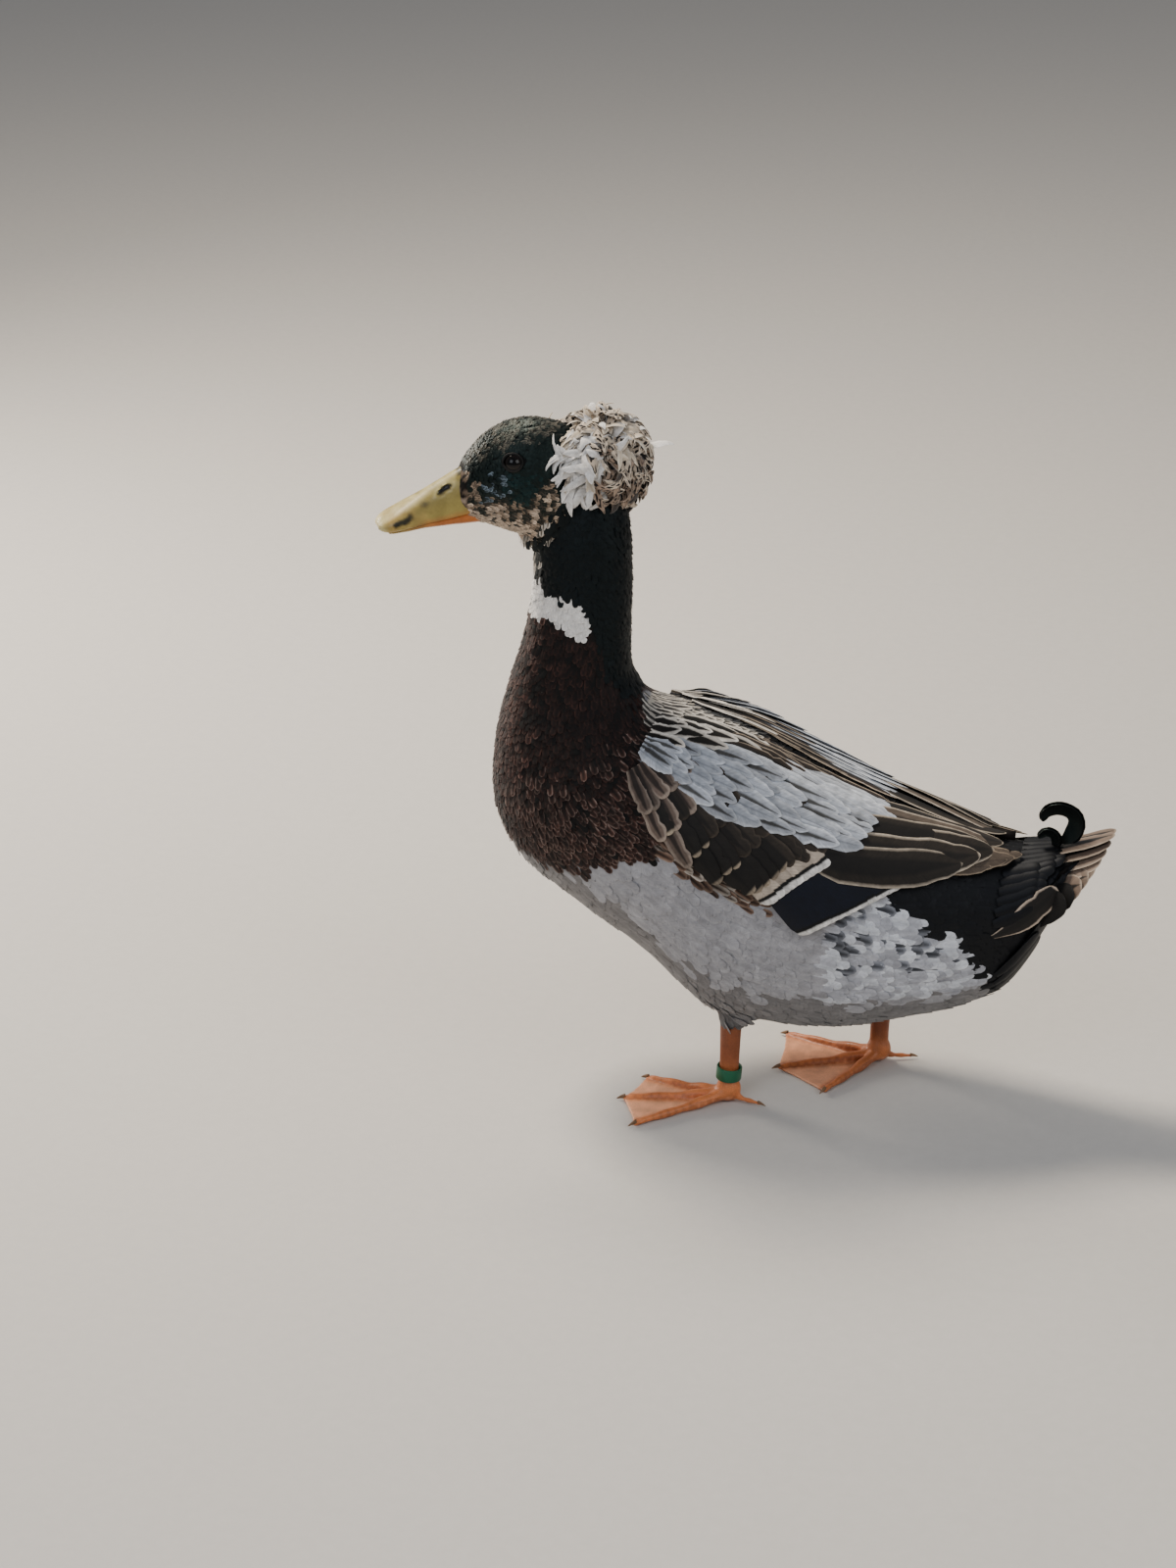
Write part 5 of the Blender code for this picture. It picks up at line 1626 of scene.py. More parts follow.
    def pad(self, name: str) -> Piece:
        """The thin pad of skin and short down that holds the roots, near black as painted shade in the gaps
        between the vanes.
        """
        rings = []
        for t in np.linspace(2.3, 8.9, 24):
            upper, lower = float(self.shape.read(t, 1)) + 4, float(self.shape.read(t, 2)) - 12
            phi = np.radians(np.linspace(upper, max(lower, upper + 8), 14)) * self.side
            here, normal, _ = self.bird.trunk.frame(np.full(14, t), phi)
            swell = np.minimum(1, 0.2 + 3 * np.minimum(np.linspace(0, 1, 14), np.linspace(1, 0, 14)))
            high = float(self.shape.read(t, 3)) * 0.3 * swell[:, None]
            rings.append(np.concatenate([here + normal * high, (here - normal * 2.5)[::-1]]))
        # Painted shade: the pad is near black where it shows between the vanes.
        return SKIN_FINISH.put_on(self.bird.loft(name, rings), rgb("#1c1613")[0])

    def lay(self, stack: VaneStack, tier: Tier, draw: Numbers) -> None:
        """Adds one tier's vanes from front to rear.

        Args:
            stack: The vanes so far.
            tier: The tier.
            draw: Random numbers.
        """
        _, outline, thick, lean, even = tier.rank.value
        first, last = np.array(tier.first), np.array(tier.last)
        ends = [self.path(stack.f, *pair, tier)[0][-1] for pair in (first, last)]
        row = unit(ends[1] - ends[0]) if outline is Outline.SQUARE else None
        loose = tier.rank is Rank.SCAPULAR
        for i in range(tier.count):
            share = i / (tier.count - 1)
            root, tip = first + (last - first) * share
            if loose:
                tip[0] = first[1, 0] + (last[1, 0] - first[1, 0]) * share**self.rear_bow
            tip[0] += (tip[0] - root[0]) * draw.uniform(-0.14, 0.1) * loose
            tip[1] += draw.uniform(-2, 2) * (not even)
            kind = self.kind(tier, i, *(root + (tip - root) * 0.85), draw)
            width = tier.width * draw.uniform(0.9, 1.1)
            if kind is Quill.SCAPULAR_MANTLE and i % 2:
                continue
            spot, up = self.path(stack.f, root, tip, tier)
            roll = math.radians(lean + draw.uniform(-3, 3) * (not even)) * self.side
            ragged = 0.02 if even else 0.06
            stack.add(spot, up, width, thick, outline, kind, tier.camber, roll, ragged, row=row)

    def build(self, name: str) -> list[Piece]:
        """Builds the piece of vanes and the pad under them."""
        draw = np.random.default_rng(SEED)
        stack = VaneStack(self.bird, SEED)
        for tier in self.tiers:
            self.lay(stack, tier, draw)
        return [stack.piece(name + "_vanes", WING_FINISH), self.pad(name + "_pad")]


# Tail and curls.


@dataclass
class Tail:
    """The fan of tail feathers with its upper and lower coverts."""

    bird: Bird
    pairs: int = 9
    width: float = 18
    bulge: float = 3
    sag: float = 1.5
    lean: float = math.radians(62)
    middle: tuple = ((170, 3, 163.5), (222, 5, 180))
    outer: tuple = ((168, 20, 128), (197, 36, 150))
    step: float = 1.3
    pale: tuple = ((2.6, 86), (0.5, 80), 15)
    coverts: tuple = (
        (2.0, 0.75, 2, 2.2, range(-44, 45, 8), 8),
        (1.5, 0.45, 3, 1.8, range(-34, 31, 8), 8),
        (2.4, 1.2, 0, 1.8, (-76, -68, -60, -52, -44, -36, 36, 44, 52, 60, 68, 76), 9),
        (1.9, 0.9, 0, 1.6, (-66, -57, -48, 48, 57, 66), 9),
        (2.1, 1.0, 0, 1.6, (-168, -156, -144, -132, -120, 180, 120, 132, 144, 156, 168), 11),
        (1.4, 0.3, 6, 2.0, (-160, -148, -136, -124, 180, 124, 136, 148, 160), 12),
    )

    def kind(self, pair: int) -> Quill:
        """The look of one of the fan's feathers."""
        return Quill.RECTRIX_DARK if pair >= self.pairs - 2 else Quill.RECTRIX

    def fan(self, stack: VaneStack) -> None:
        """Adds the fan from the middle pair outwards and down."""
        f = stack.f
        for pair in range(self.pairs):
            share = pair / (self.pairs - 1)
            root, tip = mix(np.array(self.middle), np.array(self.outer), share)
            tip[0] += self.bulge * 4 * share * (1 - share)
            for side in (-1, 1):
                ends = [p * (1, side, 1) - (0, 0, self.step if side > 0 else 0) for p in (root, tip)]
                turn = self.lean * share
                up = unit(np.array((-0.1, side * math.sin(turn), math.cos(turn))))
                path = ends[0] + (ends[1] - ends[0]) * f[:, None] - up * (4 * self.sag * f * (1 - f))[:, None]
                up, kind = np.tile(up, (len(f), 1)), self.kind(pair)
                stack.add(path, up, self.width, 0.6, Outline.ROUND, kind, 0.9, ragged=0.02)

    def cover(self, stack: VaneStack) -> None:
        """Adds the coverts around the tail's root."""
        f, trunk = stack.f, self.bird.trunk
        for root, tip, beyond, height, angles, width in self.coverts:
            for degrees in angles:
                phi = np.full(len(f), math.radians(degrees))
                here, normal, _ = trunk.frame(root + (tip - root) * f, phi)
                ends = trunk.point(np.array((tip, tip + 0.3)), phi[:2])
                ahead = unit(ends[0] - ends[1])
                rise, reach = -1.5 + (height + 1.5) * f, beyond * f * f
                path = here + normal * rise[:, None] + ahead * reach[:, None]
                stack.add(path, normal, width, 0.6, Outline.ROUND, Quill.TAIL_COVERT, 1.2)

    def edge(self, stack: VaneStack) -> None:
        """Adds the pale-rimmed feather at each side of the rump."""
        f, trunk = stack.f, self.bird.trunk
        root, tip, width = self.pale
        for side in (-1, 1):
            phi = np.radians(root[1] + (tip[1] - root[1]) * f) * side
            here, normal, _ = trunk.frame(root[0] + (tip[0] - root[0]) * f, phi)
            path = here + normal * (-5 + 7.6 * np.sqrt(f))[:, None]
            stack.add(path, normal, width, 0.7, Outline.SPOON, Quill.RECTRIX_OUTER, 1.0)

    def build(self) -> list[Piece]:
        """Builds the fan and its coverts."""
        fan, coverts = VaneStack(self.bird, SEED + 3), VaneStack(self.bird, SEED + 4, 10, 5)
        self.fan(fan)
        self.edge(fan)
        self.cover(coverts)
        return [fan.piece("tail_vanes", TAIL_FINISH), coverts.piece("tail_coverts", RUMP_FINISH)]


@dataclass
class Curls:
    """The two curled feathers above the tail."""

    bird: Bird
    big: tuple = (
        (189, 0, 167), (194, 0, 173), (198, 0, 179), (199, 0, 185), (196.5, 0, 190), (191, 0, 192.5),
        (185, 0, 192), (180.5, 0, 189), (178.5, 0, 184),
    )
    small: tuple = ((187, -3, 168), (188, -5, 175), (185.5, -5.5, 179), (181, -6, 179.5), (177, -6, 176))
    widths: tuple = (12, 8)
    turn: float = math.radians(62)

    def build(self) -> Piece:
        """Builds both curls as one piece, each of two feathers that lie together."""
        stack = VaneStack(self.bird, SEED + 5, 26)
        for points, width in zip((self.big, self.small), self.widths):
            for offset, share in ((0.0, 1.0), (1.2, 0.85)):
                path = curve_rows(points, stack.f * (len(points) - 1))
                side = np.array((0, 1.0, 0))
                away = unit(np.cross(np.gradient(path, axis=0), side))
                out = away * math.cos(self.turn) - side * math.sin(self.turn)
                path = path + out * offset
                stack.add(path, -out, width * share, 1.0, Outline.LONG, Quill.CURL, 0.8, ragged=0.02)
        return stack.piece("curled_feathers", CURL_FINISH)


# Crest.


@dataclass
class Crest:
    """The round crest behind the crown, feather by feather."""

    bird: Bird
    centre: tuple = (-12, 388.5)
    radii: tuple = (31, 30, 34)
    root: tuple = (-0.9, 0, -0.42)
    pole: tuple = (0.2, 0.1, 0.97)
    count: int = 1000
    core: float = 0.42
    lean: float = 0.35
    clear: float = 1.6
    hidden: float = 0.7
    swirl: float = 1.0
    widths: tuple = (4.2, 7.2)
    lone: tuple = (0.97, 0, 0.2)

    def clear_of_head(self, spot: Array) -> Array:
        """Moves points of the crest sideways until they are outside the head."""
        a, z = self.centre[0] - spot[:, 0], self.centre[1] + spot[:, 2]
        side = self.bird.head.half_width(a, z) + self.clear
        over = (a > self.bird.head.rows[0][0]) & (np.abs(spot[:, 1]) < side)
        moved = spot.copy()
        moved[over, 1] = (np.sign(spot[-1, 1]) or 1.0) * side[over]
        return moved

    def kind(self, direction: Array, draw: Numbers) -> Quill:
        """The look of one feather by where it points, with the lower ones painted darker as shade.

        Args:
            direction: Backward, right and up.
            draw: Random numbers.

        Returns:
            Its look.
        """
        level = direction[2] + draw.normal(0, 0.12)
        limits, kinds = (0.1, 0.55), (Quill.CREST_GREY, Quill.CREST_BROWN, Quill.CREST_SPOTTED)
        if direction[0] < -0.2 and level < 0.55:
            limits, kinds = (0.86, 0.94), (Quill.CREST_WHITE, Quill.CREST_CREAM, Quill.CREST_SPOTTED)
        elif level > 0.35:
            limits, kinds = (0.3, 0.42), (Quill.CREST_CREAM, Quill.CREST_WHITE, Quill.CREST_SPOTTED)
        elif level > -0.15:
            limits, kinds = (0.2, 0.75), (Quill.CREST_CREAM, Quill.CREST_SPOTTED, Quill.CREST_BROWN)
        elif level < -0.75:
            limits, kinds = (0.6, 0.9), (Quill.CREST_GREY, Quill.CREST_BROWN, Quill.CREST_SPOTTED)
        return kinds[int(np.searchsorted(limits, draw.uniform()))]

    def build(self) -> Piece:
        """Builds the crest as one piece of vanes that fall away from its top."""
        draw = np.random.default_rng(SEED)
        head, radii, pole = self.bird.head, np.array(self.radii, float), unit(np.array(self.pole))
        stack = VaneStack(self.bird, SEED + 7, 9, 5)
        centre = head.place(self.centre[0], 0, self.centre[1])
        golden = math.pi * (3 - math.sqrt(5))
        f = stack.f
        hidden = unit(np.array(self.root))
        for k in range(self.count + 1):
            height = 1 - 2 * min((k + 0.5) / self.count, 1)
            turn = k * golden + draw.uniform(-0.2, 0.2)
            ring = math.sqrt(1 - height * height)
            direction = np.array((ring * math.cos(turn), ring * math.sin(turn), height))
            lone = k == self.count
            if lone:
                direction = unit(np.array(self.lone))
            elif direction @ hidden > self.hidden:
                continue
            down = unit(direction * (direction @ pole) - pole)
            swirl = draw.normal(0, self.swirl)
            flow = down * math.cos(swirl) + np.cross(direction, down) * math.sin(swirl)
            bend, reach = draw.uniform(0.3, 0.8), draw.choice((0.8, 0.88, 0.95, 1.0, 1.04))
            if lone:
                bend, reach = 0.15, 1.45
            if direction[0] < -0.3 and abs(direction[2] - 0.05) < 0.4:
                reach += 0.24
            heading = unit(direction + flow * (bend * (f**1.5 - self.lean))[:, None])
            radius = self.core * 0.8 + (reach - self.core * 0.8) * np.sin(f * math.pi / 2)
            spot = heading * radii * radius[:, None]
            spot[f > 0.3] = self.clear_of_head(spot)[f > 0.3]
            up = unit(heading * (0.35 + 0.65 * f)[:, None] - flow * (0.9 - 0.6 * f)[:, None])
            kind = Quill.CREST_WHITE if lone else self.kind(heading[-2], draw)
            # Shorter feathers lie deeper in the crest and are painted a quarter darker as shade.
            stack.add(
                centre + head.turned(spot), head.turned(up), draw.uniform(*self.widths), 0.45, Outline.LEAF,
                kind, 0.7, draw.uniform(-0.5, 0.5), 0.07, 1 - 0.25 * (reach < 0.9),
            )
        return stack.piece("crest_vanes", CREST_FINISH)


# Bill and eyes.


@dataclass
class Bill:
    """The two halves of the bill with nail, nostrils and the line of the mouth."""

    bird: Bird
    rows: tuple = (
        (60, 396, 368.8, 12.5, 1.15),
        (72, 391.2, 366.3, 12.6, 1.15),
        (82, 385.8, 364.6, 12, 1.1),
        (93, 379.8, 363, 11.8, 0.95),
        (103, 374.6, 361.2, 12.8, 0.8),
        (112, 369.6, 360, 12.9, 0.7),
        (117, 366.2, 359.8, 10.6, 0.65),
        (119.6, 363.6, 360.3, 6.2, 0.6),
    )
    lip: float = 1.1
    drop: tuple = ((60, 76, 95, 113), (9.5, 6.2, 3.8, 2.2))
    lower_width: float = 0.86
    nostril: tuple = (81, 381.6)
    nostril_size: tuple = (4.2, 1.7)
    nostril_slope: float = -0.55
    cut_edge: tuple = ((-0.9, 0), (-0.6, 0.5), (0.6, 0.5), (0.9, 0))
    nail: tuple = (113.5, 7.0, 4.6)
    steps: int = 84
    arc: int = 41

    def upper(self) -> Piece:
        """The upper half, a dome along the culmen with pits for the nostrils."""
        t = np.linspace(0, len(self.rows) - 1, self.steps)
        a, top, mouth, half, arch = (column[:, None] for column in curve_rows(self.rows, t).T)
        turn = np.linspace(0, math.pi, self.arc)
        lip = mouth + self.lip
        b = half * np.cos(turn)
        z = lip + (top - lip) * np.sin(turn) ** arch
        # The nostril is an oval pit that slopes with the culmen, with a low rim around it.
        u = (a - self.nostril[0]) / self.nostril_size[0]
        v = (z - self.nostril[1] - self.nostril_slope * (a - self.nostril[0])) / self.nostril_size[1]
        ring = np.sqrt(u * u + v * v)
        pit = 1.9 * np.clip(1 - ring**2, 0, 1) ** 0.5 - 0.35 * np.exp(-(((ring - 1.35) / 0.3) ** 2))
        # The nail is a low shield at the tip.
        shield = np.exp(-(((a - self.nail[0] - 3) / self.nail[1]) ** 4) - (b / self.nail[2]) ** 4)
        # Under the dome the cut edge turns in to the mouth.
        edges = [(half * share, mouth + rise) for share, rise in self.cut_edge]
        b = np.concatenate([b - np.sign(b) * pit, *(edge[0] for edge in edges)], 1)
        z = np.concatenate([z + 0.7 * shield, *(edge[1] for edge in edges)], 1)
        a = np.broadcast_to(a, b.shape)
        piece = self.bird.loft("bill_upper_sheath", self.bird.head.place(a, b, z))
        piece.data.set_sharp_from_angle(angle=math.radians(50))
        ring = np.pad(ring, ((0, 0), (0, len(edges))), constant_values=9)
        return BILL_FINISH.put_on(piece, self.stain(a, b, z, ring))

    def stain(self, a: Array, b: Array, z: Array, ring: Array) -> Array:
        """Colours of the upper half, with a painted highlight along the ridge and painted shade in the
        nostrils.

        Args:
            a: Millimetres forward of the neck's axis.
            b: Millimetres to the left.
            z: Height.
            ring: Distance from the nostril's middle, in its own radii.

        Returns:
            Linear colours, one row for each point.
        """
        olive, pale, dark = rgb("#9c8a48", "#c8ba80", "#2b2713")
        orange, pit, tan = rgb("#b5722c", "#080604", "#b59650")
        top, mouth = read_columns(self.rows, a, 1, 2)
        level = np.clip((z - mouth) / (top - mouth), 0, 1)
        clouds = np.array([noise.noise(Vector(spot) / 5) for spot in np.stack([a, b, z], -1).reshape(-1, 3)])
        wave = clouds.reshape(a.shape) * 0.6 + np.random.default_rng(SEED).normal(0, 0.025, a.shape)
        smudge = np.exp(-(((a - 106.5) / 7) ** 2) - ((level - 0.42) / 0.3) ** 2) * 1.2 + wave * 1.1
        saddle = np.exp(-(((a - 93) / 7) ** 2) - ((level - 0.68) / 0.22) ** 2) + wave
        edge = (0.2 - level) * 4 * np.clip((106 - a) / 14, 0, 1)
        tone = np.broadcast_to(olive, (*a.shape, 3))
        for colour, share in (
            (tan, (a - 92) / 26 + wave),
            # Painted highlight: the top of the ridge turns pale.
            (pale, (level - 0.74) * 2.4 + wave * 1.2),
            (pale, (a - 114) / 4 + wave),
            (orange, edge + wave * 0.3 - 0.05),
            (dark, (smudge - 0.6) * 2.6 * (a < 115)),
            (dark, (saddle - 0.75) * 1.4),
            (dark, np.exp(-(((a - 71.5) / 1.6) ** 2)) * (level > 0.9) * 0.95),
            (pale, 0.5 * np.exp(-(((ring - 1.45) / 0.25) ** 2))),
            # Painted shade: the nostril pit is near black.
            (pit, (1.15 - ring) * 4),
        ):
            tone = mix(tone, colour, np.clip(share, 0, 1)[..., None])
        return tone.reshape(-1, 3)

    def lower(self) -> Piece:
        """The lower half, a shallow bowl under the line of the mouth."""
        a = np.linspace(60, 114, 50)[:, None]
        mouth, half = read_columns(self.rows, a, 2, 3)
        turn = np.linspace(0, math.pi, 25)
        b = half * self.lower_width * np.cos(turn)
        z = mouth - 0.3 - np.interp(a, *self.drop) * np.sin(turn) ** 0.7
        piece = self.bird.loft("bill_lower_sheath", self.bird.head.place(a, b, z))
        share = np.clip((np.repeat(a, 25) - 84) / 22, 0, 1)[:, None]
        return BILL_FINISH.put_on(piece, mix(*rgb("#b96a2a", "#9c8246"), share))


@dataclass
class Eyes:
    """The eyes and the two lids around each."""

    bird: Bird
    place: tuple = (43.8, 399.3)
    radius: float = 6.35
    proud: float = 2.1
    lid: tuple = (11.2, 9.2, 0.8)
    lid_proud: float = 0.5

    def normal(self, side: int) -> tuple[Array, Array]:
        """Middle of one eyeball and where it looks.

        Args:
            side: 1 for the bird's left, -1 for its right.

        Returns:
            The middle and the direction.
        """
        head = self.bird.head
        a, z = self.place
        here = float(head.half_width(a, z))
        slope = (float(head.half_width(a + 1, z)) - here, float(head.half_width(a, z + 1)) - here)
        inwards = unit(np.array((slope[0], -1, slope[1])))
        deep = inwards * (self.radius - self.proud)
        middle = head.place(a + deep[0], (here + deep[1]) * side, z + deep[2])
        return middle, -inwards[0] * head.forward - inwards[1] * head.left * side - inwards[2] * UP

    def ball(self, name: str, side: int) -> Piece:
        """One eyeball with its pupil, iris and a slightly raised cornea.

        Args:
            name: Name of the piece.
            side: 1 for the bird's left, -1 for its right.

        Returns:
            The piece.
        """
        middle, out = self.normal(side)
        points, faces = sphere(48, 32)
        angle = np.arccos(np.clip(points[:, 2:], -1, 1))
        turn = np.array(Vector((0, 0, 1)).rotation_difference(Vector(out)).to_matrix())
        spots = points @ turn.T * self.radius * (1 + 0.03 * np.exp(-((angle / 0.5) ** 2))) + middle
        pupil, iris, rim = rgb("#010101", "#0d0704", "#040302")
        tone = np.where(angle < 0.4, pupil, np.where(angle < 0.8, iris, rim))
        return EYE_FINISH.put_on(mesh_piece(name, self.bird.world(spots), faces), tone)

    def lids(self, name: str, side: int) -> Piece:
        """The upper and lower lid of one eye as a ring that is pinched at its corners.

        Args:
            name: Name of the piece.
            side: 1 for the bird's left, -1 for its right.

        Returns:
            The piece.
        """
        head, turns, across = self.bird.head, circle(64), 12
        a = self.place[0] + self.lid[0] / 2 * np.cos(turns)
        z = self.place[1] + self.lid[1] / 2 * power(np.sin(turns), 1.25)
        line = head.place(a, (head.half_width(a, z) + self.lid_proud) * side, z)
        middle, out = self.normal(side)
        rings = []
        for spot, turn in zip(line, turns):
            outward = unit(spot - middle - out * ((spot - middle) @ out))
            thick = self.lid[2] * (0.75 + 0.35 * abs(math.sin(turn)))
            rings.append(ellipse(spot, outward * thick, out * thick * 0.8, across))
        share = np.repeat(np.clip(-np.sin(turns) * 1.4 - 0.35, 0, 1), across)[:, None]
        return LID_FINISH.put_on(self.bird.loft(name, rings, True), mix(*rgb("#080706", "#1c1916"), share))


# Legs.


@dataclass
class Leg:
    """One bare shank and webbed foot, fused into one scaly skin."""

    bird: Bird
    suffix: str
    ankle: tuple
    side: int
    toes: tuple
    # Share of red-brown over the whole foot, painting the far foot's shade.
    dark: float = 0.0
    toe_lengths: tuple = (57, 64, 66)
    toe_line: tuple = ((0, 0.2, 0.45, 0.7, 0.9, 1), (7, 4.6, 3.2, 2.8, 2.6, 1.6))
    toe_radii: tuple = ((0, 0.2, 0.45, 0.7, 0.9, 1), (5.0, 3.6, 2.7, 2.3, 2.0, 1.2))
    shank_rows: tuple = (
        (8, 5.8, 4.8), (13, 6.0, 4.6), (20, 5.9, 4.3),
        (32, 6.1, 4.4), (51, 6.6, 4.9), (56, 6.2, 4.5),
    )
    joints: int = 3
    hallux: tuple = (165, 21, 0.6)
    steps: int = 40
    claw_radii: tuple = (1.5, 1.5, 1.5, 1.1)
    web_thick: float = 1.5
    web_dip: float = 0.02
    voxel: float = 0.95

    def toe(self, angle: float, length: float, slim: float = 1.0) -> tuple[Piece, Array]:
        """One toe with swollen joints.

        Args:
            angle: Degrees outwards from straight ahead.
            length: Its length.
            slim: Factor on its thickness.

        Returns:
            The toe and the line along its middle.
        """
        f = np.linspace(0, 1, self.steps)
        turn = math.radians(angle)
        along = np.array((-math.cos(turn), self.side * math.sin(turn), 0))
        high = UP * np.interp(f, *self.toe_line)[:, None]
        line = np.array((*self.ankle, 0)) + along * (length * f)[:, None] + high
        radius = np.interp(f, *self.toe_radii) * (1 + 0.13 * np.cos(f * FULL_TURN * self.joints)) * slim
        across = np.array((along[1], -along[0], 0))
        return self.bird.loft("toe", [ellipse(p, across * r, UP * r, 14) for p, r in zip(line, radius)]), line

    def web(self, first: Array, second: Array) -> Piece:
        """The skin between two toes, thin in its middle and curved in at its front edge.

        Args:
            first: Middle line of one toe.
            second: Middle line of the other.

        Returns:
            The web.
        """
        rings = []
        root = (first[0] + second[0]) / 2
        for i in range(0, self.steps, 3):
            f = np.linspace(0, 1, 15)[:, None]
            row = mix(first[i], second[i], f)
            row = row + (root - row) * (self.web_dip * 4 * f * (1 - f) * i / (self.steps - 1))
            low = 0.5 + 0.5 * np.abs(2 * f[:, 0] - 1) ** 2
            top, under = row.copy(), row.copy()
            top[:, 2], under[:, 2] = low + self.web_thick, low - 0.3
            rings.append(np.concatenate([top, under[::-1]]))
        return self.bird.loft("web", rings)

    def shank(self) -> Piece:
        """The bare shank from the ankle into the thigh's feathers."""
        rings = []
        for z in np.linspace(self.shank_rows[0][0], self.shank_rows[-1][0], 30):
            deep, wide = read_columns(self.shank_rows, z, 1, 2)
            middle = (self.ankle[0] + 1.5 * (z - 13) / 38, self.ankle[1], z)
            rings.append(ellipse(middle, (deep, 0, 0), (0, wide, 0), 24))
        return self.bird.loft("shank", rings)

    def knob(self) -> Piece:
        """The swollen joint above the toes."""
        points, faces = sphere(24, 16)
        return mesh_piece("knob", self.bird.world(points * (7.6, 6.6, 8.4) + (*self.ankle, 8.6)), faces)

    def claws(self, lines: list[Array]) -> Piece:
        """Short dark claws at the tips of the toes, given their middle lines."""
        points, faces = [], []
        for line, wide in zip(lines, self.claw_radii):
            along = unit(line[-1] - line[-6]) * (1, 1, 0)
            across = np.array((along[1], -along[0], 0))
            faces += [tuple(v + len(points) for v in face) for face in ring_faces(9, 10)]
            for f in np.linspace(0, 1, 9):
                r = wide * (1 - f) ** 0.7 + 0.12
                spot = line[-1] - along * 1.5 + along * (5.5 * f) + UP * (1.2 - 1.5 * f * f)
                points += ellipse(spot, across * r * 0.8, UP * r, 10).tolist()
        cloud = np.array(points)
        cloud[:, 2] = np.maximum(cloud[:, 2], 0.05)
        piece = face_out(mesh_piece("claws_" + self.suffix, self.bird.world(cloud), faces))
        return BILL_FINISH.put_on(piece, rgb("#7a5a3c")[0])

    def stain(self, own: Array, lines: list[Array]) -> Array:
        """Colours of the foot: paler webs, painted shade in the folds beside the toes, and a shank that turns
        red-brown upwards, partly its own colour and partly painted shade under the belly.

        Args:
            own: Its points in the bird's millimetres.
            lines: Middle line of each toe.

        Returns:
            Linear colours, one row for each point.
        """
        orange, pale, red_and_shade = rgb("#de824a", "#fbb286", "#5e2716")
        level = own[:, 2:]
        gaps = [np.linalg.norm(own[:, None, :2] - line[None, ::3, :2], axis=2).min(1) for line in lines]
        near = np.min(gaps, axis=0)[:, None]
        tone = mix(orange, pale, np.clip((near - 3) / 4, 0, 1) * (level < 5))
        # Painted shade in the folds beside the toes.
        fold_shade = np.exp(-((near - 3.2) / 0.8) ** 2) * (level < 6) * 0.35
        # The shank's red-brown rises upwards, partly its own colour and partly painted shade under the belly.
        up = np.clip((level - 10) / 20, 0, 1) * 0.72 + self.dark
        return mix(tone, red_and_shade, np.clip(fold_shade + up, 0, 0.8))

    def build(self) -> list[Piece]:
        """Builds the fused foot and shank, and the claws."""
        toes = [self.toe(angle, length) for angle, length in zip(self.toes, self.toe_lengths)]
        toes.append(self.toe(*self.hallux))
        lines = [line for _, line in toes]
        webs = [self.web(a, b) for a, b in zip(lines, lines[1:-1])]
        foot = fused([self.shank(), self.knob(), *(toe for toe, _ in toes), *webs], self.voxel)
        points = np.array([tuple(vert.co) for vert in foot.data.vertices])
        points[:, 2] = np.maximum(points[:, 2], 0)
        foot.data.vertices.foreach_set("co", points.ravel())
        foot.data.update()
        foot.name = "foot_skin_" + self.suffix
        log.info("%s: %d faces", foot.name, len(foot.data.polygons))
        return [FOOT_FINISH.put_on(foot, self.stain(points / MM - self.bird.shift, lines)), self.claws(lines)]


@dataclass
class Band:
    """The plain ring around the left shank."""

    bird: Bird
    centre: tuple = (-2.7, -33, 19.5)
    height: float = 8
    outer: float = 7.75
    inner: float = 6.6
    tilt: float = math.radians(5)

    def build(self) -> Piece:
        """Builds the ring with rounded edges."""
        ring = [(self.inner, 0.5), (self.inner + 0.25, 0.56), (self.outer - 0.25, 0.56), (self.outer, 0.48)]
        ring = [(r, -z) for r, z in ring] + ring[::-1]
        lean = np.array(Matrix.Rotation(self.tilt, 3, "Y"))
        sections = []
        for turn in circle(96):
            spots = [(r * math.cos(turn), r * math.sin(turn), z * self.height * 0.89) for r, z in ring]
            sections.append([lean @ np.array(spot) + self.centre for spot in spots])
        piece = self.bird.loft("band_ring", sections, True)
        piece.data.set_sharp_from_angle(angle=math.radians(40))
        return BAND_FINISH.put_on(piece, rgb("#126040")[0])


# Studio.


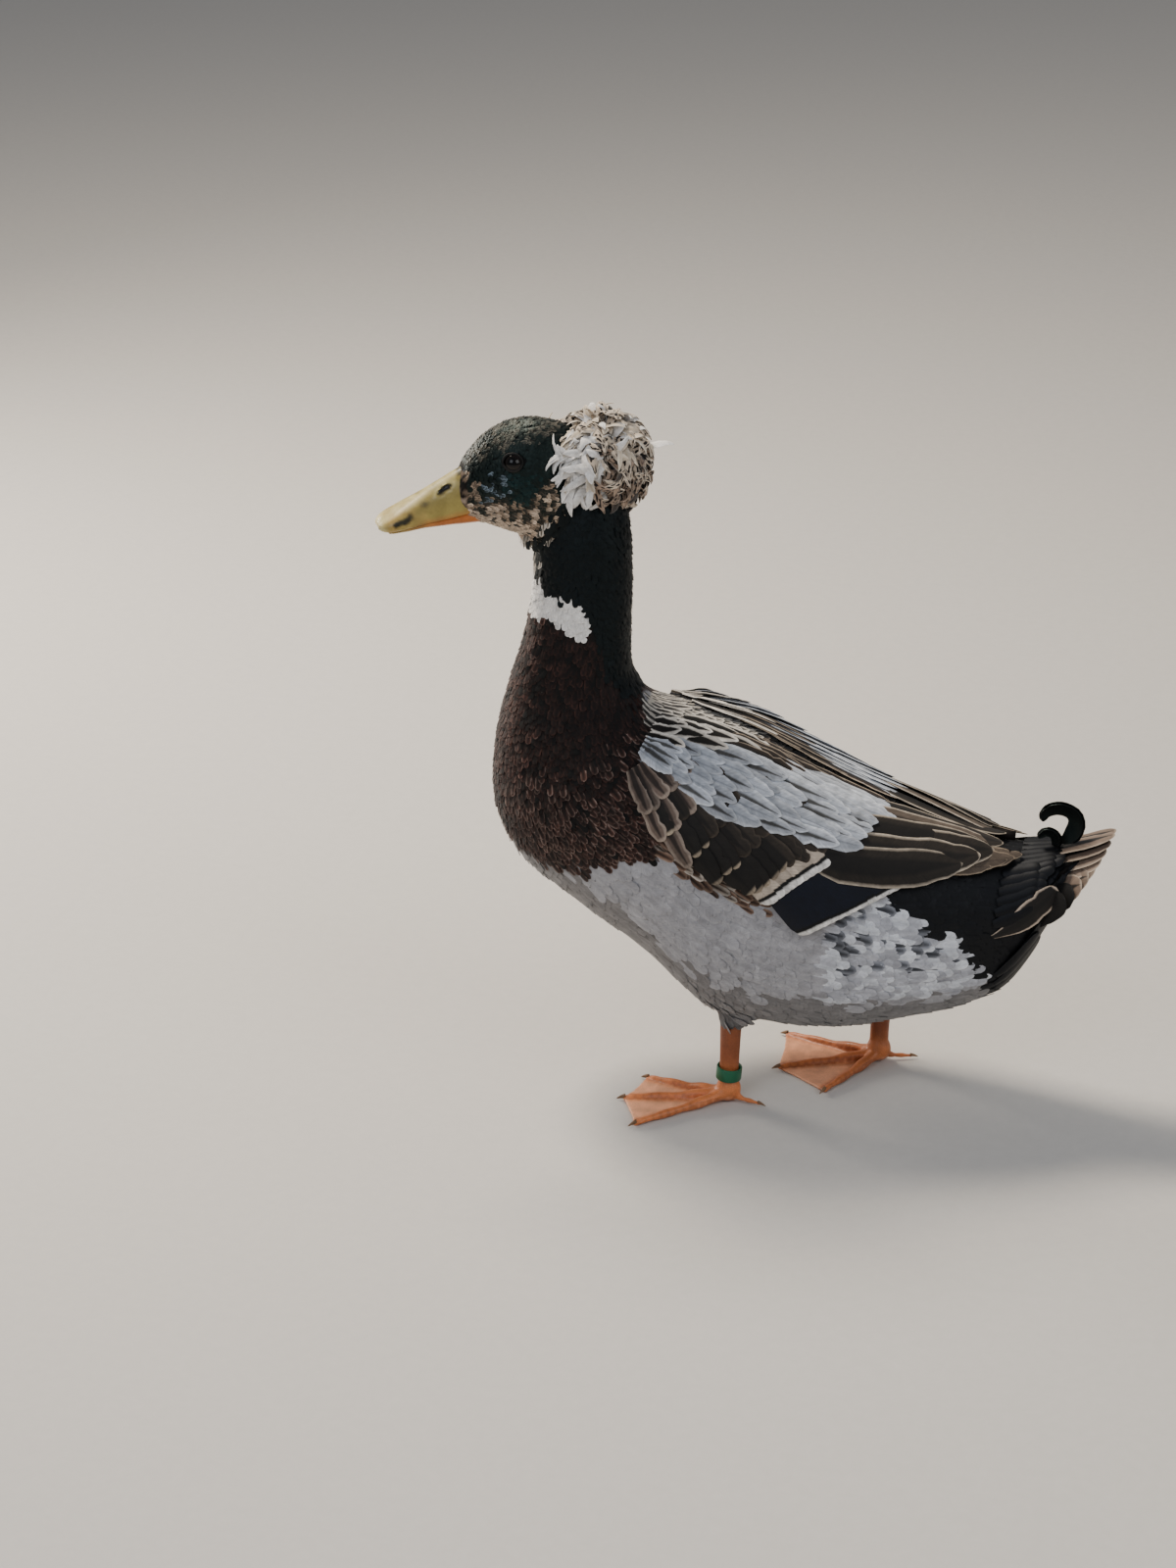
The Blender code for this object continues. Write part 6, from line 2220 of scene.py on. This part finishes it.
@dataclass
class Studio:
    """A pale floor, soft lights and the camera at the photograph's angle of view."""

    bird: Bird
    azimuth: float = math.radians(10)
    elevation: float = math.radians(22)
    distance: float = 2.2
    focal_pixels: float = 3793
    image_height: float = 1600
    aim: tuple = (0, 0, 220)
    shift: tuple = (-0.0988, -0.0256)

    def camera(self) -> None:
        """Sets the camera, whose frame is taken as 1200 by 1600."""
        back = Vector((
            math.sin(self.azimuth) * math.cos(self.elevation),
            -math.cos(self.azimuth) * math.cos(self.elevation),
            math.sin(self.elevation),
        ))
        data = bpy.data.cameras.new("camera")
        data.sensor_fit = "VERTICAL"
        data.sensor_height = 24
        data.lens = self.focal_pixels / self.image_height * data.sensor_height
        data.shift_x, data.shift_y = self.shift
        camera = bpy.data.objects.new("camera", data)
        camera.location = Vector(self.bird.world(np.array(self.aim))) + back * self.distance
        camera.rotation_euler = back.to_track_quat("Z", "Y").to_euler()
        bpy.context.scene.collection.objects.link(camera)
        bpy.context.scene.camera = camera

    def light(self, name: str, place: tuple, size: float, watts: float, colour: str) -> None:
        """Adds a soft light that points at the bird.

        Args:
            name: Its name.
            place: Where it stands, in metres.
            size: Side of its square, in metres.
            watts: Its power.
            colour: Its colour as sRGB hex.
        """
        data = bpy.data.lights.new(name, "AREA")
        data.size = size
        data.energy = watts
        data.color = linear(colour)[:3]
        lamp = bpy.data.objects.new(name, data)
        lamp.location = place
        lamp.rotation_euler = (Vector(place) - Vector((0, 0, 0.2))).to_track_quat("Z", "Y").to_euler()
        bpy.context.scene.collection.objects.link(lamp)

    def floor(self) -> None:
        """Lays a wide pale floor."""
        grid = np.linspace(-10, 10, 13)
        points = np.array([(x, y, 0) for x in grid for y in grid])
        corners = [i * 13 + k for i in range(12) for k in range(12)]
        faces = [(corner, corner + 13, corner + 14, corner + 1) for corner in corners]
        floor = FLOOR_FINISH.put_on(mesh_piece("floor", points, faces), rgb("#cfcbc5")[0])

    def build(self) -> None:
        """Sets up the whole studio."""
        self.camera()
        self.floor()
        self.light("key", (-0.9, 0.6, 2.0), 0.6, 58, "#fff3e2")
        self.light("fill", (-0.6, -2.0, 1.7), 1.4, 17, "#eef3ff")
        self.light("rim", (-1.5, 0.75, 0.6), 0.5, 16, "#fff6ea")
        self.light("side", (1.7, -0.9, 1.3), 1.2, 12, "#ffffff")
        world = bpy.data.worlds.new("studio")
        world.use_nodes = True
        sky = world.node_tree.nodes["Background"]
        sky.inputs[0].default_value = linear("#dfe3ea")
        sky.inputs[1].default_value = 0.32
        bpy.context.scene.world = world


def attach(piece: Piece, slot: str, *nodes: str) -> None:
    """Rides a piece on the bird and hides the solids that it stands for.

    Args:
        piece: The finished piece.
        slot: The record's slot; not used.
        *nodes: Solids that it replaces.
    """
    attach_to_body(piece, "root")
    if nodes:
        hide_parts(*nodes)
    log.info("attached %s", piece.name)


def dress(bird: Bird) -> None:
    """Builds every piece of the bird in order.

    Args:
        bird: The bird's frame.
    """
    markings, under = Markings(), Skin()
    skin = under.build(bird, markings)
    attach(skin, "body_feathers", "head", "neck_upper", "neck_lower", "torso", "thigh_left", "thigh_right")
    coat = Coat(bird, markings, skin, WingShape())
    large = coat.vane("vane_large", (0, 0.3, 0.6, 0.8, 0.92, 1.0), 0.05)
    small = coat.vane("vane_small", (0, 0.4, 0.75, 0.93, 1.0), 0.06)
    trunk = coat.spread(bird.trunk, 0.3, 16.95, 290000, 2.0, SEED)
    trunk = Roots.join([trunk, coat.thighs(under.thighs, under.thigh_rows, SEED + 2)])
    head = coat.spread(bird.head, 0.3, 8.7, 13500, 1.4, SEED + 1)
    black, maroon = (Plumage.NECK, Plumage.STREAK), (Plumage.MAROON_DARK, Plumage.MAROON, Plumage.MAROON_LOW)
    rear = (Plumage.FLANK_REAR, Plumage.FLANK_PALE, Plumage.FLANK_DARK)
    groups = (
        ("coat_neck", black, small, 12, 8, NECK_FINISH, "head_feathers"),
        ("coat_collar", (Plumage.COLLAR,), small, 12, 8, BODY_FINISH, "head_feathers"),
        ("coat_breast", maroon, large, 9, 8, BREAST_FINISH, "breast_feathers"),
        ("coat_flanks", (Plumage.FLANK, Plumage.BELLY), large, 3.2, 4, BODY_FINISH, "body_feathers"),
        ("coat_rear", rear, large, 4.5, 5, BODY_FINISH, "body_feathers"),
        ("coat_thighs", (Plumage.THIGH,), small, 5, 8, BODY_FINISH, "body_feathers"),
        ("coat_sides", (Plumage.SIDE_TAN, Plumage.SIDE_WHITE), large, 4, 7, BODY_FINISH, "body_feathers"),
        ("coat_mantle", (Plumage.MANTLE, Plumage.MANTLE_DARK), large, 9, 7, BODY_FINISH, "body_feathers"),
        ("coat_rump", (Plumage.RUMP, Plumage.UNDERTAIL), large, 4.5, 5, RUMP_FINISH, "body_feathers"),
    )
    for name, kinds, vane, lift, ruffle, finish, slot in groups:
        chosen = trunk.pick(np.isin(trunk.kind, [kind.number for kind in kinds]))
        attach(coat.grow(name, chosen, vane, lift, ruffle, finish), slot)
    attach(coat.grow("coat_head", head, small, 12, 9, HEAD_FINISH), "head_feathers")
    for vane in (large, small):
        bpy.data.objects.remove(vane)
    for side, suffix in ((-1, "left"), (1, "right")):
        vanes, pad = Wing(bird, side).build("wing_" + suffix)
        attach(vanes, "wing_feathers", "wing_" + suffix)
        attach(pad, "wing_feathers")
    fan, coverts = Tail(bird).build()
    attach(fan, "tail_feathers", "tail")
    attach(coverts, "tail_feathers")
    attach(Curls(bird).build(), "curled_feathers", "tail_curls")
    attach(Crest(bird).build(), "crest_feathers", "crest")
    bill = Bill(bird)
    attach(bill.upper(), "bill_horn", "bill_upper")
    attach(bill.lower(), "bill_under", "bill_lower")
    eyes = Eyes(bird)
    for side, suffix in ((1, "left"), (-1, "right")):
        attach(eyes.ball("eyeball_" + suffix, side), "eye", "eye_" + suffix)
        attach(eyes.lids("lids_" + suffix, side), "head_feathers")
    left = Leg(bird, "left", under.thighs[0], -1, (-18, 10, 41))
    # The far right foot is painted darker as shade.
    right = Leg(bird, "right", under.thighs[1], 1, (-62, -22, 20), 0.25)
    for leg in (left, right):
        foot, claws = leg.build()
        attach(foot, "foot_skin", "foot_" + leg.suffix, "shank_" + leg.suffix)
        attach(claws, "foot_skin")
    attach(Band(bird).build(), "band_plastic", "leg_band")


def main() -> None:
    """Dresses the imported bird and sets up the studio."""
    logging.basicConfig(level=logging.INFO, format="%(name)s: %(message)s")
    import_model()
    bird = Bird()
    bird.settle()
    dress(bird)
    Studio(bird).build()


if __name__ == "__main__":
    main()
